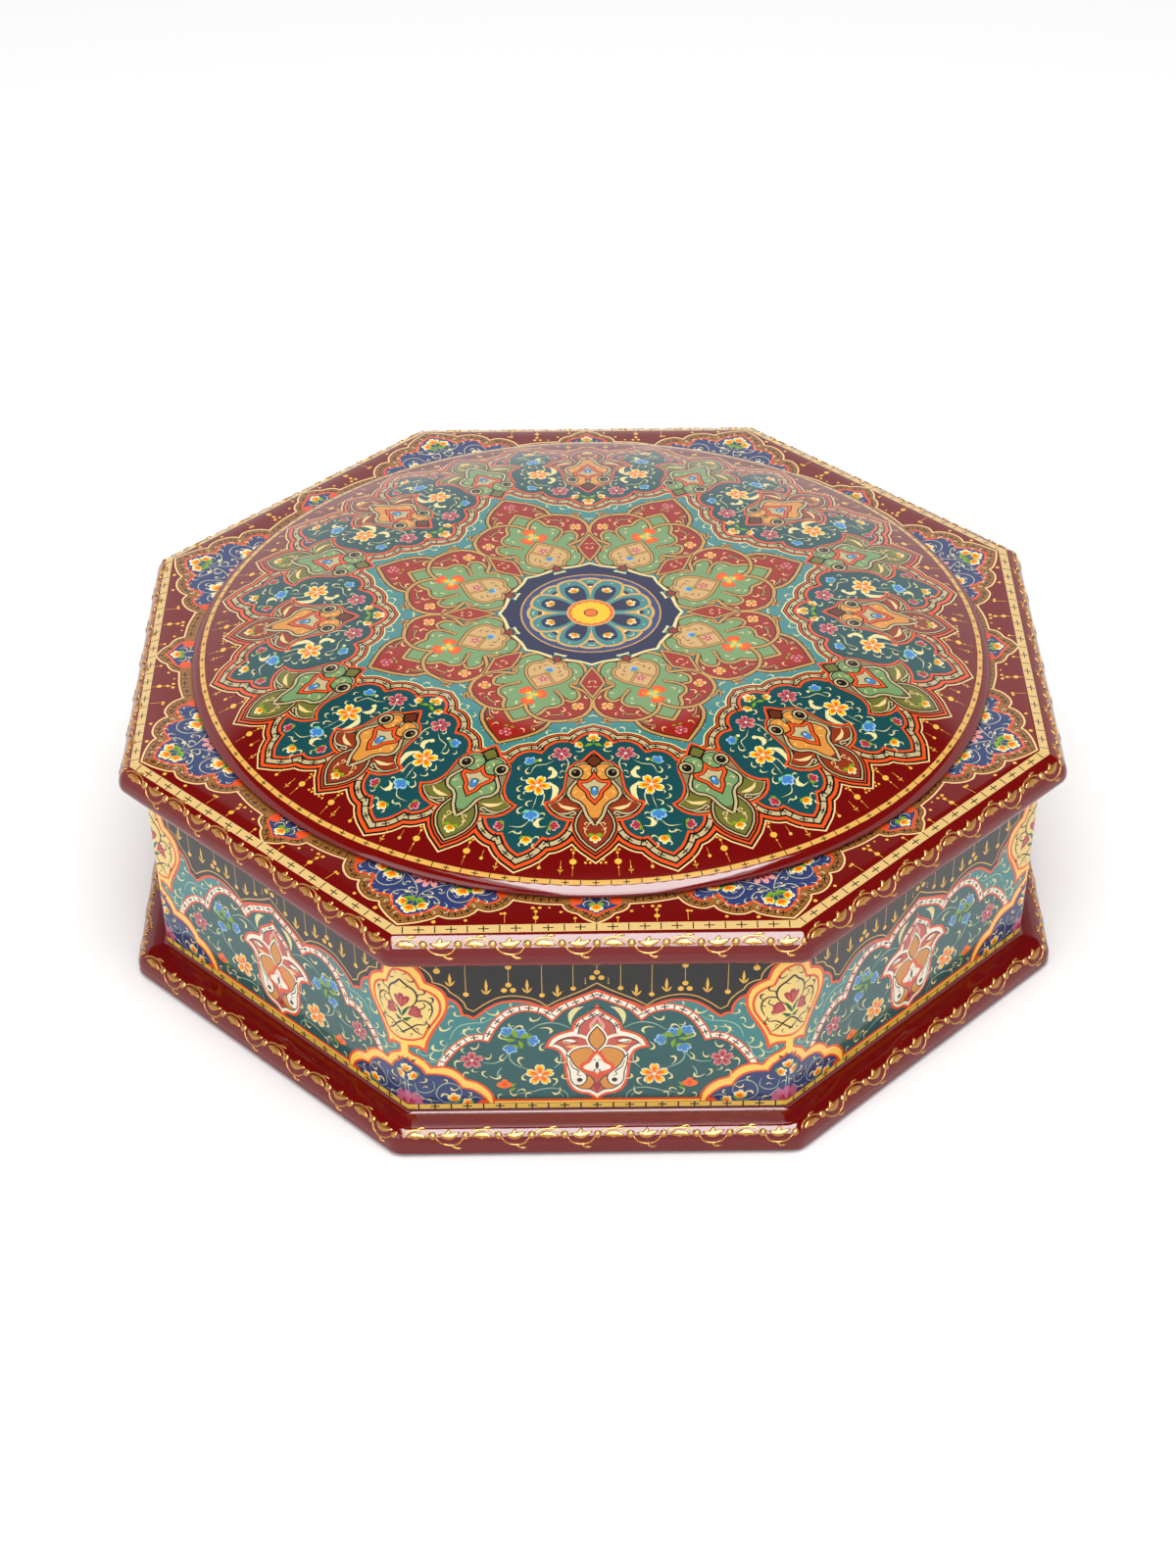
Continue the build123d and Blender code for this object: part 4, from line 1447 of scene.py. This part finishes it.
spandrelInner = curve([(23.4, 10.0), (23.2, 12.6), (21.6, 15.4), (18.8, 17.8), (15.8, 18.6)],
                      [(14.4, 21.2), (12.0, 23.2), (9.0, 24.0), (5.6, 24.1)],
                      [(4.6, 26.2), (2.8, 28.2), (1.2, 29.8), (0, 32.0)])


def paintPanel(cell):
    foot = flatPoints((56, 12), (0, 12))
    sky = bothSides(panelTop + flatPoints((56, 52)) + foot)
    layered(cell, sky, (0.55, "orangeRed"), (-0.3, "skyTeal"))
    cell.put("lineGold", stroke(scallopLine, 0.42))
    arch = bothSides(archTop + flatPoints((46, 12), (0, 12)))
    layered(cell, arch, (1.3, "orangeRed"), (0.8, "white"), (-0.75, "orangeRed"), (-1.35, "wallTeal"))
    bandMarks(cell, archTop, 0, 2.7, 1.2)
    corner = AxisCell(cell, 0, shiftX=wall["width"])
    paintCorner(corner)
    paintPalmette(cell)
    paintArch(cell)
    # borders along the foot
    cell.put("orangeRed", flatPoints((-1, 12.6), (29.6, 12.6), (29.6, 14.0), (-1, 14.0)))
    cell.put("bandGold", flatPoints((-1, 12.2), (29.6, 12.2), (29.6, 13.2), (-1, 13.2)))
    cell.put("black", stripe(wallLow - 1, 12.5))
    cell.put("bandFoot", stripe(wallLow + 0.25, 12.3))
    for k in range(13):
        place = Vector((wall["markStep"] * k, wallLow + wall["markHeight"]))
        (tickMark if k % 2 else crossMark)(cell, place, 0, 2.1, 0.46)
    # gold on the black ground
    for x, z, top, radius in ((6.6, 56.4, 69, 0.8), (15.3, 54.0, 69, 0.8), (36.5, 54.6, 69, 0.85),
                              (44.3, 63.4, 69, 1.0), (24.5, 64.6, 69, 0.9), (3.2, 58.2, 60.4, 0.2)):
        cell.put("lineGold", stroke(flatPoints((x, z), (x, (z + top) / 2), (x, top)), 0.24, 0.2, 0.16))
        dot(cell, "dotGold", x, z, radius)
    for x, z in ((0, 61.0), (24.6, 56.6)):
        for dx, dz in ((0, 1.4), (-1.25, -0.6), (1.25, -0.6)):
            dot(cell, "dotGold", x + dx, z + dz, 0.88)
    cell.put("lineGold", stroke(flatPoints((24.6, 58.6), (24.5, 64)), 0.2))
    cell.put("lineGold", stroke(flatPoints((0, 63.6), (0, 69)), 0.2))
    for x, z, long in ((11.0, 53.4, 4.6), (19.4, 54.8, 5.4), (30.8, 54.4, 5.8), (40.8, 57.6, 5.0)):
        leaf(cell, "dotGold", long, 0.9, 0, x, z + long, 180)
        for side in (-1, 1):
            leaf(cell, "dotGold", 2.6, 0.62, 0.02, x, z, side * -34)


# What straddles the corner of two walls: a navy spandrel and a cream cartouche, both with gold rims
def paintCorner(corner):
    spandrel = bothSides(spandrelOuter[::-1] + flatPoints((0, 12)))
    layered(corner, spandrel, (0.35, "orangeRed"), (-0.4, "bandGold"))
    inner = bothSides(spandrelInner[::-1] + flatPoints((0, 10)))
    layered(corner, inner, (0.5, "orangeRed"), (-0.2, "navy"))
    rim = bothSides(cornerHalf)
    layered(corner, rim, (0.45, "orangeRed"), (-0.5, "bandGold"))
    corner.put("bandGold", bothSides(flatPoints((0, 40), (1.2, 40), (1.1, 31.5), (0, 30.5))))
    cream = bothSides(cornerInner)
    layered(corner, cream, (0.45, "orangeRed"), (-0.35, "panelCream"))
    for flip in bothHands(corner):
        crossMark(flip, Vector((2.4, 29.5)), 40, 1.3)
        tickMark(flip, Vector((0.5, 65.9)), 0, 1.6)
        # cartouche: an ogee of fine black stems, crossed tails, side tulips and green leaves
        for points, width in ((((0, 60.6), (1.8, 58.4), (3.8, 56.4), (4.6, 53.8), (3.8, 51.2), (1.6, 49.4)),
                              0.62), (((4.4, 52.2), (6.6, 52.4), (8.4, 50.8), (8.6, 48.0), (7.6, 45.4)),
                              0.56), (((0, 45.0), (2.2, 42.8), (3.8, 40.6), (5.4, 39.4)), 0.54),
                              (((-0.6, 40.4), (2.0, 42.0), (4.4, 43.4), (6.4, 43.2), (7.0, 45.0)), 0.56),
                              (((3.0, 50.4), (5.2, 49.2), (6.8, 50.2), (6.2, 51.6)), 0.5)):
            brushLine(flip, "stemBlack", (width, width, width * 0.6), *points)
        scrolls(flip, "stemBlack", 1.5, (9.2, 52.4, 60, 2.2), (6.8, 55.0, 30, 2.0), (3.2, 59.4, -30, 1.8),
                (7.6, 43.2, 130, -2.0), (5.6, 46.0, 30, 1.3), (1.8, 57.4, 10, 1.1), (4.4, 41.6, 90, 1.2),
                (2.6, 39.6, 60, 1.1), (8.2, 49.2, 150, 1.2), (5.0, 54.8, 200, 1.2), (1.6, 62.4, 20, 1.0),
                (4.2, 47.0, 100, 1.0))
        for turn in (-98, -44, -71):
            petal(flip, "darkRose", 4.0, 1.9, 1.7, 47.4, turn)
            petal(flip, "rosePanel", 2.9, 0.8, 2.0, 47.5, turn)
        petal(flip, "darkRose", 4.6, 2.0, 0, 50.0, -26)
        petal(flip, "rosePanel", 3.2, 0.8, 0.1, 50.4, -26)
        leaf(flip, "deepGreen", 4.6, 1.2, -0.06, 0, 46.6, -30)
        leaf(flip, "deepGreen", 3.0, 1.2, 0.1, 0, 45.6, -74)
        leaf(flip, "deepGreen", 2.2, 0.9, 0.1, 0.2, 46.2, -126)
        # spandrel: a half lotus on the foot, a trio of buds, stems and scrolls
        for turn, long in ((-86, 4.6), (-58, 5.2), (-30, 5.6)):
            petal(flip, "lilac", long, 2.2, 0, 12.2, turn)
            petal(flip, "darkRose", long * 0.5, 1.0, 0, 12.2, turn)
        for points in (((0.6, 18.0), (0.4, 21.6), (1.2, 24.0)),
                       ((14.6, 13.0), (11.0, 13.0), (8.6, 15.2), (8.9, 18.4), (11.4, 20.6), (14.6, 19.6),
                       (15.8, 16.6), (14.4, 14.2)), ((16.6, 13.2), (19.4, 15.0), (21.6, 14.2)),
                       ((7.6, 21.4), (8.0, 18.4), (5.6, 16.8), (3.0, 17.8), (2.4, 20.8)),
                       ((9.0, 13.4), (5.0, 14.4), (2.4, 17.6))):
            stem(flip, "paleStem", 0.36, *points)
        bud(flip, 3.2, 23.2, 2.2, 70, "yellow")
        bud(flip, 13.6, 13.4, 2.5, 5, "yellow")
        bud(flip, 18.0, 12.2, 2.0, 40, "yellow")
        dot(flip, "orangeRed", 21.8, 12.2, 1.7)
        scrolls(flip, "leafCream", 2.0, (11.0, 16.4, 150, 2.3), (13.6, 17.6, 20, -2.0),
                (11.8, 21.4, 80, 1.5), (5.6, 21.2, 20, 1.8), (5.4, 19.4, 200, -1.2), (18.6, 16.0, 60, 1.5),
                (6.6, 14.2, 120, 1.3), (1.0, 20.4, 150, 1.1))
    bud(corner, 0, 25.2, 2.4, 0, "yellow")
    petal(corner, "lilac", 5.8, 2.2, 0, 12.2, 0)
    petal(corner, "darkRose", 5.4, 2.0, 0, 50.0)
    petal(corner, "rosePanel", 3.8, 0.8, 0, 50.4)


# The flower in the middle of the panel: orange edge, white band, rose and ochre lobes, a white heart
def paintPalmette(cell):
    whole = bothSides(palmetteHalf)
    layered(cell, whole, (0.4, "orangeRed"), (-0.45, "white"), (-1.55, "stemBlack"), (-1.85, "rosePanel"))
    for flip in bothHands(cell):
        flip.put("paleRose", closedCurve([(0, 46.4), (1.0, 44.6), (2.2, 42.6), (1.8, 40.2), (1.0, 38.6)],
                                         [(1.2, 41.0), (0.6, 43.4), (0, 45.0), (0, 46.4)]))
        brushLine(flip, "white", (1.1, 1.0, 0.5), (-0.2, 33.4), (1.4, 36.0), (3.8, 38.1), (6.8, 38.8),
                  (10.0, 37.8), (12.4, 35.6))
        brushLine(flip, "stemBlack", (0.3, 0.5, 0.2), (5.2, 37.4), (8.4, 37.6), (11.0, 36.6), (12.6, 34.8))
        leaf(flip, "white", 3.6, 1.7, 0.1, 5.9, 36.4, -80)
        brushLine(flip, "stemBlack", (0.4, 0.3, 0.2), (5.6, 35.8), (7.6, 35.8), (9.6, 36.6))
        leaf(flip, "paleOchre", 4.4, 1.3, 0.05, 4.6, 34.4, -88)
        # ochre lobe with its dark edge
        lobe = closedCurve([(1.6, 33.6), (3.4, 33.8), (5.6, 33.2), (7.3, 31.8), (7.7, 29.6), (7.0, 27.2),
                           (5.0, 24.8), (3.0, 25.4), (2.6, 28.2), (1.0, 31.0), (1.6, 33.6)], step=1.2)
        layered(flip, lobe, (1.0, "white"), (0.36, "stemBlack"), (0, "ochre"))
        low = closedCurve([(0.8, 20.6), (2.4, 22.8), (3.4, 21.4), (4.6, 19.8), (6.0, 19.4), (4.8, 18.2),
                          (2.2, 18.0), (0.8, 20.6)], step=1.2)
        layered(flip, low, (0.32, "stemBlack"), (0, "ochre"))
        # paisley
        paisley = closedCurve([(8.6, 31.0), (8.3, 27.4), (7.6, 24.4), (7.4, 21.6), (6.4, 19.6), (4.6, 19.4),
                              (3.3, 20.9), (3.2, 23.0), (4.8, 25.0), (6.6, 27.0), (7.6, 29.4), (8.6, 31.0)],
                              step=1.2)
        layered(flip, paisley, (0.36, "stemBlack"), (0, "white"))
        dot(flip, "stemBlack", 5.0, 21.3, 0.85)
        brushLine(flip, "stemBlack", (0.2, 0.42, 0.2), (7.9, 29.0), (7.0, 26.2), (5.2, 24.6), (5.8, 23.4),
                  (4.6, 22.9), step=1.0)
        dot(flip, "brightGreen", 0.75, 42.4, 0.62)
    upper = evenCurve([(0, 41.6), (1.5, 39.4), (2.2, 37.2), (1.6, 35.2), (0, 33.0)])
    layered(cell, upper, (0.9, "white"), (0.4, "stemBlack"), (0, "ochre"))
    heart = evenCurve([(0, 33.2), (1.7, 31.2), (2.9, 28.8)],
                      [(4.9, 27.2), (4.8, 25.2), (3.0, 24.0), (1.6, 23.6)], [(0, 21.8)])
    layered(cell, heart, (0, "orangeRed"), (-1.15, "white"))
    dot(cell, "stemBlack", 0, 27.0, 0.5, 1.5)
    for flip in bothHands(cell):
        scrolls(flip, "stemBlack", 1.2, (0.9, 24.8, 60), (0.9, 29.2, 150, 0.9))
    cell.put("darkRose", evenCurve([(0, 20.6), (1.0, 18.8), (0, 16.8)]))
    bandMarks(cell, [p for p in grown(whole, -1.0) if p.x > 0.6 and p.y > 40.4], 0, 2.9, 1.0)


# Flowers, stems and scrolls on the teal field, and scrolls on the sky panel
def paintArch(cell):
    for points in (((24.2, 33.2), (25.0, 30.4), (23.4, 27.6), (19.6, 25.6)),
                   ((24.8, 32.2), (26.8, 29.6), (29.8, 28.1), (32.6, 28.4)),
                   ((8.4, 14.2), (8.8, 16.2), (11.4, 18.0), (15.2, 18.0), (19.2, 16.7), (22.8, 16.2)),
                   ((7.6, 41.4), (10.2, 43.0), (13.2, 43.6), (16.4, 42.8), (19.4, 40.6)),
                   ((9.8, 14.6), (10.6, 16.2)), ((27.2, 26.6), (28.4, 24.6), (28.6, 22.2)),
                   ((10.4, 31.8), (10.4, 28.4), (12.4, 26.0)),
                   ((29.6, 45.6), (31.6, 44.0), (35.4, 43.7), (38.8, 42.6), (40.8, 40.0), (41.6, 37.6)),
                   ((42.4, 36.0), (43.8, 33.0), (44.2, 30.6), (46.6, 28.9), (49.4, 29.4)),
                   ((46.2, 33.6), (47.8, 31.6), (49.8, 31.6), (50.6, 33.6)),
                   ((36.0, 42.4), (37.4, 40.4), (38.8, 39.6))):
        stem(cell, "paleStem", 0.42, *points)
    for x, y, turn in ((19.7, 37.0, 100), (24.6, 39.0, -35), (24.3, 35.2, 195), (22.2, 38.0, 25)):
        bud(cell, x, y, 2.7, turn, "blue")
    for x, y, turn in ((22.0, 37.6, 60), (22.4, 38.4, -20), (22.2, 37.0, 170), (23.0, 37.2, -85)):
        leaf(cell, "brightGreen", 3.6, 1.4, 0.1, x, y, turn)
    blossom(cell, 35.7, 29.4, 3.3, 0, "rose")
    blossom(cell, 16.4, 23.4, 4.1, 0, "yellow")
    for turn, long in ((-42, 3.0), (0, 3.7), (38, 2.9)):
        petal(cell, "petalOrange", long, 2.0, 26.6, 18.2, turn)
    petal(cell, "orangeRed", 2.3, 1.5, 26.6, 18.4, 0)
    leaf(cell, "brightGreen", 2.6, 1.0, 0.1, 25.4, 17.0, 60)
    leaf(cell, "brightGreen", 2.0, 0.9, 0.1, 24.4, 18.6, 30)
    cell.put("leafCream", closedCurve([(7.4, 42.6), (6.9, 45.2), (5.2, 48.2), (3.6, 49.6)],
                                      [(6.4, 49.0), (8.0, 47.0), (8.0, 44.6), (7.4, 42.6)]))
    scrolls(cell, "leafCream", 2.2, (13.2, 41.4, 200, 2.6), (17.8, 44.2, -20, 2.4), (22.0, 42.6, 150),
            (24.6, 42.4, 10, 1.4), (27.6, 38.0, 30, 2.2), (16.4, 34.0, 110, -2.2), (11.2, 28.2, 10, 2.6),
            (22.6, 29.4, 80, 2.4), (27.8, 30.0, 110, -2.0), (30.6, 30.0, -60, 1.9), (34.4, 33.8, -50, 2.2),
            (40.6, 28.8, 100, 2.2), (33.0, 24.0, 60, 2.0), (28.6, 22.0, 10, -2.4), (21.6, 22.6, 120, -2.2),
            (9.8, 22.0, 20, 2.0), (11.4, 21.0, -70, -2.2), (21.6, 18.0, 160, 1.8), (11.2, 16.0, -60, 2.4),
            (20.4, 16.2, 110, 1.8), (24.6, 15.6, 60, -2.0), (38.0, 24.6, 120, 1.8), (9.4, 36.0, 30, 1.4),
            (38.6, 33.2, 60, 1.5), (28.6, 15.6, 100, 1.5), (35.6, 25.0, 20, 1.4))
    scrolls(cell, "leafCream", 2.4, (28.6, 46.6, 10, -2.6), (24.4, 50.4, 60, 1.3), (32.6, 45.4, 100, 1.6),
            (37.8, 40.2, 60), (39.8, 46.6, 20, 1.9), (41.6, 44.6, 110, 1.7), (36.0, 41.4, 10, 1.4),
            (43.2, 40.8, -20, 2.6), (33.8, 41.0, 60, 1.7), (46.2, 33.4, 10, 2.8), (47.6, 30.6, 100, -2.2),
            (44.4, 36.2, 60, 1.9), (40.8, 50.4, 150, 1.4), (51.4, 33.4, 80, 1.4))


def makeWalls():
    cell = paintWall()
    extra = gridPoints(1, wall["width"] - 3, wallLow + 3, wallHigh - 2, 7)
    for k in range(1, 6):
        x = wall["width"] - wall["cornerWidth"] * k / 5
        extra += [Vector((x, wallLow + (wallHigh - wallLow) * j / 12)) for j in range(13)]
    patch = cell.triangles(extra)
    print("wall patch:", len(patch[1]), "triangles,", len(cell.layers), "brush shapes")
    for k, name in enumerate(sideNames):
        turn = 45 * k
        piece = skinMesh("painted_wall_" + name, patch, bendWall, [(1, turn), (-1, turn)], wallCloser(turn))
        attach(piece, "box")
        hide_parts("wall_" + name)


makeWalls()
# Inside: velvet over card, dark lips, and felt under the foot
inside = {
    "velvet": {"light": (0.190, 0.009, 0.017), "dark": (0.085, 0.003, 0.007), "pile": 2600.0, "crush": 45.0,
               "sheen": 0.6},
    "felt": {"light": (0.030, 0.068, 0.036), "dark": (0.014, 0.036, 0.018), "pile": 1500.0, "crush": 160.0,
             "sheen": 0.1},
    "pileDepth": 0.5, "pileHeight": 0.2, "pileGain": 0.7, "crushFrom": 0.32, "crushGain": 1.7,
    "roughness": 0.95, "shine": 0.15, "sheenRoughness": 0.35,
}


# Cloth with a short pile: broad patches where it was stroked flat, and fine fibres over them
def pileCloth(name):
    cloth = inside[name]
    values = {"Roughness": inside["roughness"], "Specular IOR Level": inside["shine"],
              "Sheen Weight": cloth["sheen"], "Sheen Roughness": inside["sheenRoughness"]}
    material, shader, ink = newMaterial(name, values)
    material.diffuse_color = (*cloth["light"], 1)
    crush, pile = ink.noise(cloth["crush"], 3.0), ink.noise(cloth["pile"], 1.0)
    share = (crush - inside["crushFrom"]) * inside["crushGain"]
    share = ink.math("ADD", share, (pile - 0.5) * inside["pileGain"], clamp=True)
    colour = ink.node("ShaderNodeMix", {"data_type": "RGBA"}, output=2, i0=share, i6=(*cloth["dark"], 1),
                      i7=(*cloth["light"], 1))
    ink.tree.links.new(colour.socket, shader.inputs["Base Color"])
    addBump(ink, shader, inside["pileDepth"], inside["pileHeight"] * mm, pile)
    return material


def dressInside():
    velvet, felt, lipLacquer = pileCloth("velvet"), pileCloth("felt"), paintOf("lipBrown")
    for name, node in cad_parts.items():
        kind = "card" if name == "lid_card" else name.split("_")[0]
        material = {"card": velvet, "floor": velvet, "lip": lipLacquer, "base": felt}.get(kind)
        if material:
            for slot in node.material_slots:
                slot.material = material
    print("inside dressed")


dressInside()


# Floor, light and camera
studio = {
    "floorReach": 6.0, "wallSky": 36.8, "skyFade": 5.0, "ambient": 0.68, "glossTop": 0.06,
    "strip": {"right": (-0.20, 0.44), "back": (-1.40, 0.19), "level": 13.0, "soft": 0.02, "lowest": 0.3},
    "floorColour": (0.97, 0.97, 0.97, 1),
}


def makeFloor():
    bpy.ops.object.select_all(action="DESELECT")
    bpy.ops.mesh.primitive_plane_add(size=studio["floorReach"], location=(0, 0, 0))
    floor = bpy.context.object
    floor.name = "floor"
    values = {"Base Color": studio["floorColour"], "Roughness": 1.0, "Specular IOR Level": 0.0}
    floor.data.materials.append(newMaterial("whiteFloor", values)[0])


# White all round to a height, as a studio's low walls are, and dark above for what is reflected
def makeWorld():
    world = bpy.data.worlds.new("studio")
    bpy.context.scene.world = world
    world.use_nodes = True
    tree = world.node_tree
    for node in list(tree.nodes):
        tree.nodes.remove(node)
    ink = Ink(tree)
    place = ink.node("ShaderNodeTexCoord", output=0)
    split = ink.node("ShaderNodeSeparateXYZ", output=2, Vector=place)
    strip = studio["strip"]
    box = ink.math("GREATER_THAN", split, strip["lowest"])
    for axis, name in ((0, "right"), (1, "back")):
        side = ink.node("ShaderNodeSeparateXYZ", output=axis, Vector=place)
        slant = ink.math("DIVIDE", side, ink.math("MAXIMUM", split, strip["lowest"]))
        low, high = strip[name]
        for edge, way in ((low, 1), (high, -1)):
            box = box * ink.rise(slant, edge - way * strip["soft"], edge + way * strip["soft"])
    rays = tree.nodes.new("ShaderNodeLightPath")
    camera = Ink(tree, rays.outputs["Is Camera Ray"])
    glossy = Ink(tree, rays.outputs["Is Glossy Ray"])
    fade = studio["skyFade"] / 2
    low, high = (math.sin(math.radians(studio["wallSky"] + part)) for part in (-fade, fade))
    above = ink.rise(split, low, high)
    seen = 1 - above * (1 - studio["glossTop"])
    level = glossy * (seen + box * strip["level"]) + (1 - glossy) * studio["ambient"]
    strength = camera + (1 - camera) * level
    back = ink.node("ShaderNodeBackground", Strength=strength)
    out = tree.nodes.new("ShaderNodeOutputWorld")
    tree.links.new(back.socket, out.inputs["Surface"])
    back.socket.node.inputs["Color"].default_value = (1, 1, 1, 1)


lamps = {
    "softbox": {"at": (0.1, -0.37, 1.3), "size": (1.1, 1.1), "watts": 12.0},
    "fill": {"at": (-0.9, -0.9, 0.9), "size": (0.9, 0.7), "watts": 4.0},
}


def makeLamps():
    for name, lamp in lamps.items():
        data = bpy.data.lights.new(name, "AREA")
        data.shape = "RECTANGLE"
        data.size, data.size_y = lamp["size"]
        data.energy = lamp["watts"]
        light = addObject(name, data)
        light.location = lamp["at"]
        light.rotation_euler = (Vector((0, 0, 0.05)) - light.location).to_track_quat("-Z", "Y").to_euler()


lens = {"length": 69.91, "tilt": 36.894, "turn": -0.426, "roll": -0.333, "distance": 970.4,
        "aim": (-1.153, 28.1)}


def makeCamera():
    data = bpy.data.cameras.new("camera")
    data.sensor_fit = "VERTICAL"
    data.sensor_height = 36
    data.lens = lens["length"]
    data.clip_start, data.clip_end = 0.01, 50
    camera = addObject("camera", data)
    tilt, turn, roll = (math.radians(lens[k]) for k in ("tilt", "turn", "roll"))
    back = Vector((math.sin(turn) * math.cos(tilt), -math.cos(turn) * math.cos(tilt), math.sin(tilt)))
    across = Vector((math.cos(turn), math.sin(turn), 0))
    up = back.cross(across)
    right = math.cos(roll) * across + math.sin(roll) * up
    up = back.cross(right)
    aim = Vector((lens["aim"][0] * math.cos(turn), lens["aim"][0] * math.sin(turn), lens["aim"][1])) * mm
    camera.matrix_world = Matrix((right, up, back)).transposed().to_4x4()
    camera.location = aim + back * lens["distance"] * mm
    bpy.context.scene.camera = camera


makeFloor()
makeWorld()
makeLamps()
makeCamera()
bpy.context.scene.view_settings.view_transform = "Standard"
print("stage ready")
